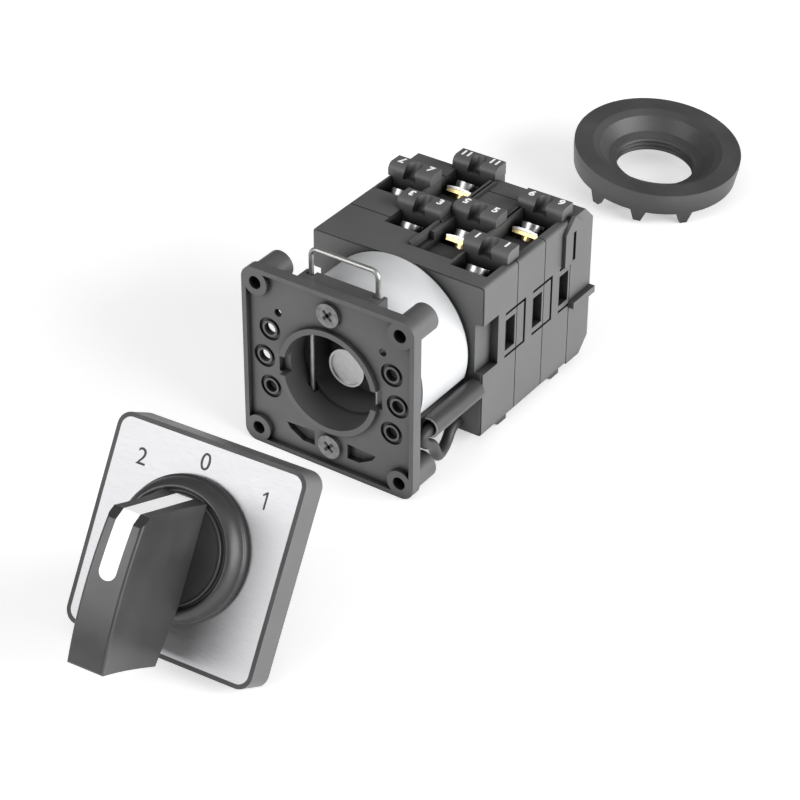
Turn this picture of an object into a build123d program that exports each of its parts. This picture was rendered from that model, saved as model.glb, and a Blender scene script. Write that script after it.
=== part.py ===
"""Cam switch for a panel, laid apart in three groups on one surface.

The switch body stands behind its mounting plate, the front unit with the knob leans
back on the end of its bush, and the ring nut lies behind. +X is to the right seen
from the front, +Y goes back into the switch and +Z is up. The origin is the centre
of the four-hole pattern on the mounting plate's front face.
"""
import os
from math import atan2, cos, degrees, pi, radians, sin, sqrt

from build123d import *

# Mounting plate
PLATE_SIZE = 43.0
PLATE_CORNER = 3.0
PLATE_THICKNESS = 2.6
PLATE_RIM = 1.1
PLATE_RECESS = 1.2
HOLE_SPACING = 36.0
CORNER_HOLE_RADIUS = 1.5
CORNER_PAD_RADIUS = 3.0
CORNER_BOSS_RADIUS = 3.2
CORNER_BOSS_LENGTH = 6.5
BORE_RADIUS = 11.1
BORE_LIP = 1.3
KEY_NOTCH_REACH = 13.0
KEY_NOTCH_HEIGHT = 4.6
HUB_RADIUS = 14.6
HUB_DEPTH = 7.4
BRIDGE_WIDTH = 15.2
BRIDGE_TOP = 20.5
WELL_RADIUS = 2.7
WELL_CORE_RADIUS = 1.9
WELL_HOLE_RADIUS = 1.4
WELL_DEPTH = 0.6
WELL_PITCH = 7.1
WELL_COLUMN = 15.3
WELL_MIDDLE_SHIFT = 1.5
VENT_RADIUS = 0.9
VENT_X = 13.1
VENT_Z = 11.8
WINDOW_INNER = 4.2
WINDOW_OUTER = 11.4
WINDOW_TOP = -14.2
WINDOW_HEIGHT = 3.6
PLATE_SCREW_OFFSET = 16.2
PLATE_SCREW_RADIUS = 1.3
PLATE_SCREW_HEAD_RADIUS = 2.75
PLATE_SCREW_HEAD_HEIGHT = 0.9
PLATE_SCREW_LENGTH = 10.5
PLATE_SCREW_BOSS_RADIUS = 3.4
CROSS_WIDTH = 0.7
CROSS_LENGTH = 2.6
CROSS_DEPTH = 0.6

# Locking bail
BAIL_WIRE_RADIUS = 0.55
BAIL_SPACING = 16.6
BAIL_DEPTH = 6.5
BAIL_TOP = 26.4
BAIL_FOOT = -10.0
BAIL_CORNER = 1.6
BAIL_TRAVEL = 4.8
BAIL_CLEARANCE = 0.3

# Index housing with its star wheel
DRUM_RADIUS = 18.2
DRUM_LENGTH = 18.0
DRUM_SOCKET_RADIUS = 10.5
DRUM_SOCKET_DEPTH = 7.8
DRUM_PARTITION = 1.6
INDEX_CHAMBER_RADIUS = 14.6
STAR_TIP_RADIUS = 9.0
STAR_NOTCH_RADIUS = 1.8
STAR_NOTCHES = 8
STAR_THICKNESS = 5.0
STAR_FRONT_GAP = 1.2
NOSE_RADIUS = 1.5
LEAF_THICKNESS = 0.4
LEAF_HEIGHT = 19.6
LEAF_BOW = 0.9
LABEL_THICKNESS = 0.2
LABEL_MARGIN = 0.6
LABEL_START = -17.0
LABEL_END = 205.0

# Contact block
BLOCK_HALF_WIDTH = 21.7
BLOCK_TOP = 17.6
BLOCK_BOTTOM = -19.5
BLOCK_EDGE = 0.8
FIRST_STAGE_LENGTH = 13.0
STAGE_PITCH = 10.8
STAGE_COUNT = 3
COVER_LENGTH = 9.0
COVER_SLOPE = 3.4
SEAM = 0.25
SEAM_GROOVE = 0.35
TUNNEL_RADIUS = 8.0
FRONT_WALL = 1.6

# Contact levels: the right one sits in a stage, the left one in the piece behind it
RIGHT_LEVEL = 33.3
LEFT_LEVEL = 40.2
CHAMBER_START = 9.2
CHAMBER_END = 18.2
CHAMBER_HALF_HEIGHT = 8.3
CHAMBER_HALF_DEPTH = 1.7
PLUNGER_WIDTH = 2.0
PLUNGER_HEIGHT = 3.0
PLUNGER_CLEARANCE = 0.15
BRIDGE_SEAT = 12.8
BRIDGE_THICKNESS = 0.8
BRIDGE_HALF_HEIGHT = 7.4
BUTTON_OFFSET = 6.0
BUTTON_RADIUS = 1.0
BUTTON_HEIGHT = 0.8
CONTACT_GAP = 0.3
STRIP_THICKNESS = 0.8
STRIP_WIDTH = 2.4
STRIP_TIP_START = 4.8
STRIP_CLEARANCE = 0.2
SPRING_THICKNESS = 0.25

# Cams: an even spiral over the switching angle, between a low and a high dwell
SWITCH_ANGLE = 45.0
CAM_RADIUS = 6.0
CAM_STROKE = 1.2
CAM_THICKNESS = 3.2
CAM_CLEARANCE = 0.1
CAM_STEPS = 6

# Shaft
SHAFT_SIDE = 5.0
SHAFT_CHAMFER = 0.5
SHAFT_CLEARANCE = 0.3
JOURNAL_RADIUS = 2.4
JOURNAL_LENGTH = 5.0
RUNNING_FIT = 0.05
COUPLING_RADIUS = 4.4
COUPLING_FRONT = 6.9
COUPLING_THICKNESS = 1.4
COUPLING_RIM = 0.5
COUPLING_DISH = 0.4
COUPLING_NECK_RADIUS = 3.9

# Terminals
TERMINAL_EDGE_RIGHT = 6.7
TERMINAL_EDGE_LEFT = 5.6
TERMINAL_INNER_RIGHT = 5.2
TERMINAL_INNER_LEFT = -6.3
TERMINAL_RIGHT = (
    BLOCK_HALF_WIDTH - TERMINAL_EDGE_RIGHT, TERMINAL_INNER_RIGHT, BLOCK_HALF_WIDTH - TERMINAL_EDGE_RIGHT,
)
TERMINAL_LEFT = (TERMINAL_INNER_LEFT, TERMINAL_EDGE_LEFT - BLOCK_HALF_WIDTH, TERMINAL_INNER_LEFT)
POCKET_HALF_WIDTH = 4.6
POCKET_FRONT = 3.8
POCKET_REAR = 2.6
POCKET_FLOOR = 11.4
CAP_HALF_WIDTH = 5.6
CAP_DEPTH = 4.4
CAP_HEIGHT = 2.9
CAP_ROUND = 1.6
DRIVER_GROOVE_RADIUS = 1.7
TERMINAL_TILT = 35.0
TERMINAL_SCREW_RADIUS = 1.5
TERMINAL_SCREW_LENGTH = 3.2
TERMINAL_BOSS_WALL = 0.4
TERMINAL_BOSS_DEPTH = 0.9
TERMINAL_SHIFT = 0.9
TERMINAL_HEAD_RADIUS = 2.5
TERMINAL_HEAD_HEIGHT = 1.5
TERMINAL_SLOT_WIDTH = 0.6
CLAMP_RADIUS = 3.0
CLAMP_THICKNESS = 0.7
CLAMP_HALF_WIDTH = 3.1
CLAMP_RISE = 0.9
TERMINAL_SEAT = 14.6
ROOF_STEP = 1.8
ROOF_STEP_LEFT = -1.5
TRENCH_FLOOR = 14.4
TRENCH_WALL = 1.0
BOTTOM_CAP_HEIGHT = 2.0
BOTTOM_CAP_SHIFT = -3.0

# Side clips and windows
SIDE_RECESS = 2.0
RECESS_TOP = 8.3
RECESS_BOTTOM = -3.8
RECESS_LENGTH = 5.9
ARM_WINDOW_TOP = 5.3
ARM_WINDOW_BOTTOM = -2.2
ARM_WINDOW_LENGTH = 3.7
ARM_WINDOW_OFFSET = 4.3
ARM_SLOT_WIDTH = 0.8
ARM_SLOT_TOP = 7.2
ARM_SLOT_BOTTOM = -4.0
ARM_GROOVE = 0.6
EAR_THICKNESS = 0.9
EAR_HALF_LENGTH = 3.6
EAR_TOP = 18.6
EAR_SHOULDER = 15.4
EAR_BOTTOM = 7.3
EAR_SLOT_WIDTH = 1.1
SHELF_REACH = 1.4
SHELF_HEIGHT = 1.6

# Tie screws, spacer tube and link wire
TIE_X = 13.0
TIE_Z = 10.0
TIE_RADIUS = 1.05
TIE_HEAD_RADIUS = 2.0
TIE_HEAD_HEIGHT = 1.4
TIE_ENGAGEMENT = 7.0
HOLE_CLEARANCE = 0.1
TUBE_X = 20.0
TUBE_Z = -7.6
TUBE_RADIUS = 2.4
TUBE_BORE = 1.6
TUBE_FRONT = 8.0
WIRE_RADIUS = 1.25
WIRE_BEND = 1.3
WIRE_END_HEIGHT = 2.2
WIRE_OUT = (0.3, 0.2, 2.9)
WIRE_DOWN = (1.2, 6.6)
WIRE_LOW_X = 2.2
WIRE_LOW_Y = 5.375
WIRE_TURN_X = 3.6
WIRE_TURN_Y = 5.25
WIRE_END_X = 4.2
WIRE_END_Y = 2.25

# Front unit
FACE_SIZE = 42.5
FACE_CORNER = 3.0
FACE_DEPTH = 6.5
FACE_SKIN = 2.2
FACE_WALL = 1.4
FACE_BORDER = 0.9
LEGEND_THICKNESS = 0.6
LEGEND_CORNER = 2.2
FACE_BORE = 12.4
FACE_TURN = 3.4
FACE_X = 10.6
FACE_Y = -60.9
BUSH_RADIUS = 9.8
BUSH_INNER_RADIUS = 6.6
BUSH_LENGTH = 18.5
BUSH_FLANGE_RADIUS = 12.9
BUSH_FLANGE_THICKNESS = 1.6
BUSH_GROOVE_RADIUS = 7.6
BUSH_GROOVE_WIDTH = 1.7
BUSH_GROOVE_OFFSET = 9.3
BUSH_KEY_REACH = 12.5
BUSH_KEY_WIDTH = 4.0
BUSH_KEY_LENGTH = 5.0
SEAL_CLEARANCE = 0.3
SEAL_INNER_RADIUS = BUSH_FLANGE_RADIUS + SEAL_CLEARANCE
SEAL_WIDTH = 2.4
SEAL_OUTER_RADIUS = SEAL_INNER_RADIUS + SEAL_WIDTH
SEAL_THICKNESS = 1.5

# Knob
COLLAR_RADIUS = 14.2
COLLAR_EDGE = 1.1
COLLAR_TOP_RADIUS = 12.2
COLLAR_HEIGHT = 4.8
COLLAR_GROOVE_RADIUS = 11.4
COLLAR_GROOVE_DEPTH = 0.9
DISC_RADIUS = 10.7
KNOB_LIFT = 0.3
HANDLE_BASE_TOP = 10.4
HANDLE_BASE_BOTTOM = -9.8
HANDLE_FRONT = 23.9
HANDLE_FRONT_TOP = 7.2
HANDLE_FRONT_BOTTOM = -22.4
HANDLE_HEEL_BOTTOM = -21.3
HANDLE_HEEL_OUT = 6.9
HANDLE_BEND = 1.6
HANDLE_WIDTH = 10.0
HANDLE_FRONT_WIDTH = 8.6
HANDLE_WAIST = 0.8
HANDLE_BOW = 1.2
HANDLE_EDGE = 0.6
MARKER_WIDTH = 3.7
MARKER_DEPTH = 0.6
MARKER_END = -5.4
SPINDLE_CLEARANCE = 0.4
SPINDLE_SOCKET_RADIUS = 4.7
SPINDLE_SOCKET_DEPTH = 8.0

# Ring nut
NUT_X = -3.5
NUT_Y = 144.5
NUT_RADIUS = 20.6
NUT_LEAN = (0.127, -0.066)
NUT_RIM_WIDTH = 4.6
NUT_BORE = 9.9
NUT_COLLAR_TOP = 4.4
NUT_COLLAR_BOTTOM = 8.2
NUT_COLLAR_WALL = 1.8
NUT_SKIRT = 5.8
NUT_TOOTH_HEIGHT = 2.8
NUT_TOOTH_ROOT = 4.2
NUT_TOOTH_TIP = 1.8
NUT_WALL = 1.8
NUT_TEETH = (-104.0, -71.0, -38.0, 76.0, 109.0, 142.0)

FLOOR = -PLATE_SIZE / 2
DRUM_FRONT = HUB_DEPTH
BLOCK_FRONT = DRUM_FRONT + DRUM_LENGTH
SEAMS = [BLOCK_FRONT] + [BLOCK_FRONT + FIRST_STAGE_LENGTH + STAGE_PITCH * n for n in range(STAGE_COUNT)]
COVER_REAR = SEAMS[-1] + COVER_LENGTH
BLOCK_MIDDLE = (BLOCK_TOP + BLOCK_BOTTOM) / 2
PARTITION_FRONT = DRUM_FRONT + DRUM_SOCKET_DEPTH
INDEX_FRONT = PARTITION_FRONT + DRUM_PARTITION
TIP_FACE = BRIDGE_SEAT - BUTTON_HEIGHT - CAM_STROKE - CONTACT_GAP

# Each contact level: its side of the shaft, its depth and its terminals' X
LEVELS = []
for stage in range(STAGE_COUNT):
    LEVELS.append((1, RIGHT_LEVEL + stage * STAGE_PITCH, TERMINAL_RIGHT[stage]))
    LEVELS.append((-1, LEFT_LEVEL + stage * STAGE_PITCH, TERMINAL_LEFT[stage]))


def depth_plane(depth):
    """A sketch plane seen from the front, that far behind the plate's front face."""
    return Plane.XZ.offset(-depth)


def axis_plane():
    """A sketch plane for turned pieces: X is the radius and Y the depth."""
    return Plane.XY


def finish(builder, name):
    """Label a finished piece and write its STEP file."""
    builder.part.label = name
    export_step(builder.part, f"parts/{name}.step")
    return builder.part


def make_mounting_plate():
    """Square plate with rim, recessed floor, wells, key notches and four bosses behind."""
    inside = PLATE_SIZE - 2 * PLATE_RIM
    with BuildPart() as plate:
        with BuildSketch(depth_plane(0)):
            RectangleRounded(PLATE_SIZE, PLATE_SIZE, PLATE_CORNER)
        extrude(amount=-PLATE_THICKNESS)
        with BuildSketch(depth_plane(PLATE_THICKNESS)):
            with GridLocations(HOLE_SPACING, HOLE_SPACING, 2, 2):
                Circle(CORNER_BOSS_RADIUS)
        extrude(amount=-CORNER_BOSS_LENGTH)
        with BuildSketch(depth_plane(PLATE_THICKNESS)):
            Circle(HUB_RADIUS)
            with Locations((0, BRIDGE_TOP / 2)):
                Rectangle(BAIL_SPACING + 4 * BAIL_WIRE_RADIUS + 1.2, BRIDGE_TOP)
            with Locations((0, -PLATE_SCREW_OFFSET)):
                Circle(PLATE_SCREW_BOSS_RADIUS)
        extrude(amount=-(HUB_DEPTH - PLATE_THICKNESS))
        # The floor is sunk inside the rim, round the corner pads and the bore's lip
        with BuildSketch(depth_plane(0)):
            RectangleRounded(inside, inside, PLATE_CORNER - PLATE_RIM)
            with GridLocations(HOLE_SPACING, HOLE_SPACING, 2, 2):
                Circle(CORNER_PAD_RADIUS, mode=Mode.SUBTRACT)
            Circle(BORE_RADIUS + BORE_LIP, mode=Mode.SUBTRACT)
            with Locations((0, PLATE_SCREW_OFFSET), (0, -PLATE_SCREW_OFFSET)):
                Circle(PLATE_SCREW_HEAD_RADIUS + HOLE_CLEARANCE)
        extrude(amount=-PLATE_RECESS, mode=Mode.SUBTRACT)
        # Round wells with a raised core, in two columns of three
        with BuildSketch(depth_plane(PLATE_RECESS)):
            for side in (-1, 1):
                for row in (-1, 0, 1):
                    column = side * (WELL_COLUMN + (WELL_MIDDLE_SHIFT if row == 0 else 0))
                    with Locations((column, row * WELL_PITCH)):
                        Circle(WELL_RADIUS)
                        Circle(WELL_CORE_RADIUS, mode=Mode.SUBTRACT)
        extrude(amount=-WELL_DEPTH, mode=Mode.SUBTRACT)
        # Holes right through the sheet
        with BuildSketch(depth_plane(0)):
            for side in (-1, 1):
                for row in (-1, 0, 1):
                    column = side * (WELL_COLUMN + (WELL_MIDDLE_SHIFT if row == 0 else 0))
                    with Locations((column, row * WELL_PITCH)):
                        Circle(WELL_HOLE_RADIUS)
                with Locations((side * VENT_X, VENT_Z)):
                    Circle(VENT_RADIUS)
                with BuildLine():
                    Polyline(
                        (side * WINDOW_INNER, WINDOW_TOP),
                        (side * WINDOW_OUTER, WINDOW_TOP - 0.4),
                        (side * (WINDOW_OUTER - 1.0), WINDOW_TOP - 1.8),
                        (side * (WINDOW_INNER + 3.0), WINDOW_TOP - WINDOW_HEIGHT),
                        (side * WINDOW_INNER, WINDOW_TOP - WINDOW_HEIGHT),
                        close=True,
                    )
                make_face()
        extrude(amount=-(HUB_DEPTH + HOLE_CLEARANCE), mode=Mode.SUBTRACT)
        # Screw holes, fixing holes and the main bore with its two key notches
        with BuildSketch(depth_plane(0)):
            with GridLocations(HOLE_SPACING, HOLE_SPACING, 2, 2):
                Circle(CORNER_HOLE_RADIUS)
        extrude(amount=-(PLATE_THICKNESS + CORNER_BOSS_LENGTH), mode=Mode.SUBTRACT)
        with BuildSketch(depth_plane(0)):
            Circle(BORE_RADIUS)
            with Locations((0, PLATE_SCREW_OFFSET), (0, -PLATE_SCREW_OFFSET)):
                Circle(PLATE_SCREW_RADIUS + HOLE_CLEARANCE)
        extrude(amount=-HUB_DEPTH, mode=Mode.SUBTRACT)
        with BuildSketch(depth_plane(0)):
            Rectangle(2 * KEY_NOTCH_REACH, KEY_NOTCH_HEIGHT)
        extrude(amount=-PLATE_THICKNESS, mode=Mode.SUBTRACT)
        # Channels for the bail's legs, open towards the index housing
        channel = 2 * (BAIL_WIRE_RADIUS + BAIL_CLEARANCE)
        channel_front = BAIL_DEPTH - BAIL_WIRE_RADIUS - BAIL_CLEARANCE
        channel_foot = BAIL_FOOT - BAIL_TRAVEL - BAIL_WIRE_RADIUS - BAIL_CLEARANCE
        with BuildSketch(depth_plane(channel_front)):
            with Locations((BAIL_SPACING / 2, 0), (-BAIL_SPACING / 2, 0)):
                with Locations((0, (BRIDGE_TOP + channel_foot) / 2)):
                    Rectangle(channel, BRIDGE_TOP - channel_foot + HOLE_CLEARANCE)
        extrude(amount=-(HUB_DEPTH - channel_front), mode=Mode.SUBTRACT)
    return finish(plate, "mounting_plate")


def make_plate_screws():
    """Two cross-head screws that hold the plate to the index housing."""
    with BuildPart() as screws:
        for height in (PLATE_SCREW_OFFSET, -PLATE_SCREW_OFFSET):
            with BuildSketch(depth_plane(PLATE_RECESS)):
                with Locations((0, height)):
                    Circle(PLATE_SCREW_RADIUS)
            extrude(amount=-PLATE_SCREW_LENGTH)
            with BuildSketch(depth_plane(PLATE_RECESS)):
                with Locations((0, height)):
                    Circle(PLATE_SCREW_HEAD_RADIUS)
            extrude(amount=PLATE_SCREW_HEAD_HEIGHT)
            with BuildSketch(depth_plane(PLATE_RECESS - PLATE_SCREW_HEAD_HEIGHT)):
                with Locations((0, height)):
                    Rectangle(CROSS_LENGTH, CROSS_WIDTH, rotation=45)
                    Rectangle(CROSS_WIDTH, CROSS_LENGTH, rotation=45)
            extrude(amount=-CROSS_DEPTH, mode=Mode.SUBTRACT)
    return finish(screws, "plate_screws")


def make_bail():
    """U of spring wire, drawn up; its legs cross the bore and lock the front unit."""
    half = BAIL_SPACING / 2
    with BuildPart() as bail:
        with BuildLine(depth_plane(BAIL_DEPTH)) as path:
            FilletPolyline(
                (-half, BAIL_FOOT), (-half, BAIL_TOP), (half, BAIL_TOP), (half, BAIL_FOOT),
                radius=BAIL_CORNER,
            )
        with BuildSketch(Plane(origin=path.line @ 0, z_dir=path.line % 0)):
            Circle(BAIL_WIRE_RADIUS)
        sweep(path=path.line)
    return finish(bail, "locking_bail")


def make_index_housing():
    """Drum between plate and contact block: a socket in front, the index chamber behind."""
    with BuildPart() as drum:
        with BuildSketch(axis_plane()):
            with BuildLine():
                Polyline(
                    (DRUM_SOCKET_RADIUS, DRUM_FRONT),
                    (DRUM_RADIUS, DRUM_FRONT),
                    (DRUM_RADIUS, BLOCK_FRONT),
                    (INDEX_CHAMBER_RADIUS, BLOCK_FRONT),
                    (INDEX_CHAMBER_RADIUS, INDEX_FRONT),
                    (COUPLING_NECK_RADIUS + RUNNING_FIT, INDEX_FRONT),
                    (COUPLING_NECK_RADIUS + RUNNING_FIT, PARTITION_FRONT),
                    (DRUM_SOCKET_RADIUS, PARTITION_FRONT),
                    close=True,
                )
            make_face()
        revolve(axis=Axis.Y)
        with BuildSketch(depth_plane(DRUM_FRONT)):
            with Locations((0, PLATE_SCREW_OFFSET), (0, -PLATE_SCREW_OFFSET)):
                Circle(PLATE_SCREW_RADIUS + HOLE_CLEARANCE)
        extrude(amount=-(PLATE_RECESS + PLATE_SCREW_LENGTH - DRUM_FRONT + HOLE_CLEARANCE), mode=Mode.SUBTRACT)
        with BuildSketch(depth_plane(BLOCK_FRONT)):
            with Locations((TIE_X, TIE_Z), (-TIE_X, -TIE_Z)):
                Circle(TIE_RADIUS + HOLE_CLEARANCE)
        extrude(amount=TIE_ENGAGEMENT + HOLE_CLEARANCE, mode=Mode.SUBTRACT)
    return finish(drum, "index_housing")


def make_rating_label():
    """Paper label round the drum, bare of words."""
    with BuildPart() as label:
        with BuildSketch(axis_plane().rotated((0, -LABEL_START, 0))):
            with Locations((DRUM_RADIUS + LABEL_THICKNESS / 2, DRUM_FRONT + DRUM_LENGTH / 2)):
                Rectangle(LABEL_THICKNESS, DRUM_LENGTH - 2 * LABEL_MARGIN)
        revolve(axis=Axis.Y, revolution_arc=LABEL_START - LABEL_END)
    return finish(label, "rating_label")


def make_index_wheel():
    """Star wheel whose notches hold the shaft every 45 degrees."""
    with BuildPart() as wheel:
        with BuildSketch(depth_plane(INDEX_FRONT + STAR_FRONT_GAP)):
            Circle(STAR_TIP_RADIUS)
            with PolarLocations(STAR_TIP_RADIUS + NOSE_RADIUS / 3, STAR_NOTCHES):
                Circle(STAR_NOTCH_RADIUS, mode=Mode.SUBTRACT)
            Rectangle(SHAFT_SIDE, SHAFT_SIDE, mode=Mode.SUBTRACT)
        extrude(amount=-STAR_THICKNESS)
    return finish(wheel, "index_wheel")


def make_index_springs():
    """Two bowed leaf springs, each with a formed nose that drops into a notch."""
    nose = STAR_TIP_RADIUS + NOSE_RADIUS / 3
    seat = nose + NOSE_RADIUS - LEAF_THICKNESS / 2
    with BuildPart() as springs:
        for side in (-1, 1):
            with BuildSketch(depth_plane(INDEX_FRONT + STAR_FRONT_GAP)):
                with BuildLine():
                    inner = ThreePointArc(
                        (side * (seat - LEAF_BOW), -LEAF_HEIGHT / 2),
                        (side * seat, 0),
                        (side * (seat - LEAF_BOW), LEAF_HEIGHT / 2),
                    )
                    outer = ThreePointArc(
                        (side * (seat - LEAF_BOW + LEAF_THICKNESS), -LEAF_HEIGHT / 2),
                        (side * (seat + LEAF_THICKNESS), 0),
                        (side * (seat - LEAF_BOW + LEAF_THICKNESS), LEAF_HEIGHT / 2),
                    )
                    Line(inner @ 0, outer @ 0)
                    Line(inner @ 1, outer @ 1)
                make_face()
                with Locations((side * nose, 0)):
                    Circle(NOSE_RADIUS)
            extrude(amount=-STAR_THICKNESS)
    return finish(springs, "index_springs")


def make_coupling():
    """Metal cup on the shaft's front end, which the knob's spindle takes hold of."""
    neck_front = COUPLING_FRONT + COUPLING_THICKNESS
    with BuildPart() as coupling:
        with BuildSketch(axis_plane()):
            with BuildLine():
                Polyline(
                    (0, COUPLING_FRONT + COUPLING_DISH),
                    (COUPLING_RADIUS - COUPLING_RIM, COUPLING_FRONT + COUPLING_DISH),
                    (COUPLING_RADIUS - COUPLING_RIM, COUPLING_FRONT),
                    (COUPLING_RADIUS, COUPLING_FRONT),
                    (COUPLING_RADIUS, neck_front),
                    (COUPLING_NECK_RADIUS, neck_front),
                    (COUPLING_NECK_RADIUS, INDEX_FRONT),
                    (0, INDEX_FRONT),
                    close=True,
                )
            make_face()
        revolve(axis=Axis.Y)
        with BuildSketch(depth_plane(INDEX_FRONT)):
            Rectangle(SHAFT_SIDE, SHAFT_SIDE)
        extrude(amount=INDEX_FRONT - neck_front - COUPLING_THICKNESS, mode=Mode.SUBTRACT)
    return finish(coupling, "shaft_coupling")


def make_shaft():
    """Square shaft from the coupling to a round journal in the end cover."""
    front = COUPLING_FRONT + 2 * COUPLING_THICKNESS
    journal_front = COVER_REAR - JOURNAL_LENGTH - FRONT_WALL
    with BuildPart() as shaft:
        with BuildSketch(depth_plane(front)):
            Rectangle(SHAFT_SIDE, SHAFT_SIDE)
        extrude(amount=-(journal_front - front))
        chamfer(shaft.edges().filter_by(Axis.Y), length=SHAFT_CHAMFER)
        with BuildSketch(depth_plane(journal_front)):
            Circle(JOURNAL_RADIUS)
        extrude(amount=-JOURNAL_LENGTH)
    return finish(shaft, "cam_shaft")


def spiral_radius(turn):
    """Radius of the right-hand cam's spiral at an angle within the switching range."""
    return CAM_RADIUS - CAM_CLEARANCE - CAM_STROKE * turn / SWITCH_ANGLE


def make_cams():
    """One cam for each contact level, all keyed on the square shaft."""
    high = spiral_radius(-SWITCH_ANGLE)
    low = spiral_radius(SWITCH_ANGLE)
    for number, (side, level, _) in enumerate(LEVELS, start=1):
        turns = [SWITCH_ANGLE * (2 * step / CAM_STEPS - 1) for step in range(CAM_STEPS + 1)]
        points = []
        for turn in turns:
            angle = radians(turn if side > 0 else 180 + turn)
            radius = spiral_radius(turn if side > 0 else -turn)
            points.append((radius * cos(angle), radius * sin(angle)))
        start, end = points[0], points[-1]
        far = low if side > 0 else high
        near = high if side > 0 else low
        back = -CAM_RADIUS + CAM_CLEARANCE if side > 0 else CAM_RADIUS - CAM_CLEARANCE
        with BuildPart() as cam:
            with BuildSketch(depth_plane(level - CAM_THICKNESS / 2)):
                with BuildLine():
                    Spline(*points)
                    upper = ThreePointArc(
                        end,
                        (0, far if side > 0 else -far),
                        (-end[0] if side > 0 else -end[0], end[1]),
                    )
                    lower = ThreePointArc(
                        start,
                        (0, -near if side > 0 else near),
                        (-start[0], start[1]),
                    )
                    ThreePointArc(upper @ 1, (back, 0), lower @ 1)
                make_face()
                Rectangle(SHAFT_SIDE, SHAFT_SIDE, mode=Mode.SUBTRACT)
            extrude(amount=-CAM_THICKNESS)
        finish(cam, f"cam_{number}")


def make_contacts():
    """For each level a plunger that the cam drives, and its contact bridge."""
    for number, (side, level, _) in enumerate(LEVELS, start=1):
        with BuildPart() as plunger:
            with BuildSketch(depth_plane(level - PLUNGER_WIDTH / 2)):
                with Locations((side * (CAM_RADIUS + BRIDGE_SEAT) / 2, 0)):
                    Rectangle(BRIDGE_SEAT - CAM_RADIUS, PLUNGER_HEIGHT)
            extrude(amount=-PLUNGER_WIDTH)
            nose = plunger.edges().filter_by(Axis.Y).sort_by(Axis.X)
            fillet(nose[:2] if side > 0 else nose[-2:], radius=PLUNGER_HEIGHT / 2 - PLUNGER_CLEARANCE)
        finish(plunger, f"plunger_{number}")
        with BuildPart() as bridge:
            with BuildSketch(depth_plane(level - STRIP_WIDTH / 2)):
                with Locations((side * (BRIDGE_SEAT + BRIDGE_THICKNESS / 2), 0)):
                    Rectangle(BRIDGE_THICKNESS, 2 * BRIDGE_HALF_HEIGHT)
            extrude(amount=-STRIP_WIDTH)
            with BuildSketch(Plane.YZ.offset(side * (BRIDGE_SEAT - BUTTON_HEIGHT))):
                with Locations((level, BUTTON_OFFSET), (level, -BUTTON_OFFSET)):
                    Circle(BUTTON_RADIUS)
            extrude(amount=side * BUTTON_HEIGHT)
        finish(bridge, f"contact_bridge_{number}")


def make_contact_springs():
    """A bowed spring between each bridge and the outer wall of its chamber."""
    inner_x = BRIDGE_SEAT + BRIDGE_THICKNESS + SPRING_THICKNESS / 2
    outer_x = CHAMBER_END - SPRING_THICKNESS
    for number, (side, level, _) in enumerate(LEVELS, start=1):
        with BuildPart() as spring:
            with BuildSketch(depth_plane(level - STRIP_WIDTH / 2)):
                with BuildLine():
                    first = ThreePointArc(
                        (side * outer_x, -BUTTON_OFFSET), (side * inner_x, 0), (side * outer_x, BUTTON_OFFSET)
                    )
                    second = ThreePointArc(
                        (side * (outer_x + SPRING_THICKNESS), -BUTTON_OFFSET),
                        (side * (inner_x + SPRING_THICKNESS), 0),
                        (side * (outer_x + SPRING_THICKNESS), BUTTON_OFFSET),
                    )
                    Line(first @ 0, second @ 0)
                    Line(first @ 1, second @ 1)
                make_face()
            extrude(amount=-STRIP_WIDTH)
        finish(spring, f"contact_spring_{number}")


def mirror_height(height, up):
    """A height above the block's middle, or its mirror image below it."""
    return height if up > 0 else 2 * BLOCK_MIDDLE - height


def terminal_plane(x, level, up):
    """Plane of a terminal's seat, leaning back so that its screw faces the driver groove."""
    tilt = radians(TERMINAL_TILT)
    depth = level if up > 0 else level + BOTTOM_CAP_SHIFT / 3
    return Plane(
        origin=(x, depth - TERMINAL_SHIFT, mirror_height(TERMINAL_SEAT, up)),
        x_dir=(1, 0, 0),
        z_dir=(0, sin(tilt), up * cos(tilt)),
    )


def make_fixed_contacts():
    """A brass strip from each terminal to its contact tip, two at every level."""
    for number, (side, level, x) in enumerate(LEVELS, start=1):
        tip_x = side * (TIP_FACE - STRIP_THICKNESS / 2)
        with BuildPart() as strips:
            for up in (1, -1):
                seat = mirror_height(POCKET_FLOOR + STRIP_CLEARANCE + STRIP_THICKNESS / 2, up)
                tip_end = up * STRIP_TIP_START
                with BuildSketch(depth_plane(level - STRIP_WIDTH / 2)):
                    with Locations((tip_x, (tip_end + seat) / 2)):
                        Rectangle(STRIP_THICKNESS, abs(seat - tip_end) + STRIP_THICKNESS)
                    with Locations(((tip_x + x) / 2, seat)):
                        Rectangle(abs(x - tip_x) + STRIP_THICKNESS, STRIP_THICKNESS)
                extrude(amount=-STRIP_WIDTH)
                with BuildSketch(terminal_plane(x, level, up)):
                    Rectangle(2 * CLAMP_HALF_WIDTH, 2 * CLAMP_RADIUS - STRIP_THICKNESS)
                extrude(amount=-STRIP_THICKNESS)
                with BuildSketch(terminal_plane(x, level, up).offset(-STRIP_THICKNESS)):
                    Circle(TERMINAL_SCREW_RADIUS + TERMINAL_BOSS_WALL)
                extrude(amount=-TERMINAL_BOSS_DEPTH)
                with BuildSketch(terminal_plane(x, level, up)):
                    Circle(TERMINAL_SCREW_RADIUS + HOLE_CLEARANCE / 2)
                extrude(amount=-TERMINAL_SCREW_LENGTH - STRIP_THICKNESS, mode=Mode.SUBTRACT)
        finish(strips, f"fixed_contacts_{number}")


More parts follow.
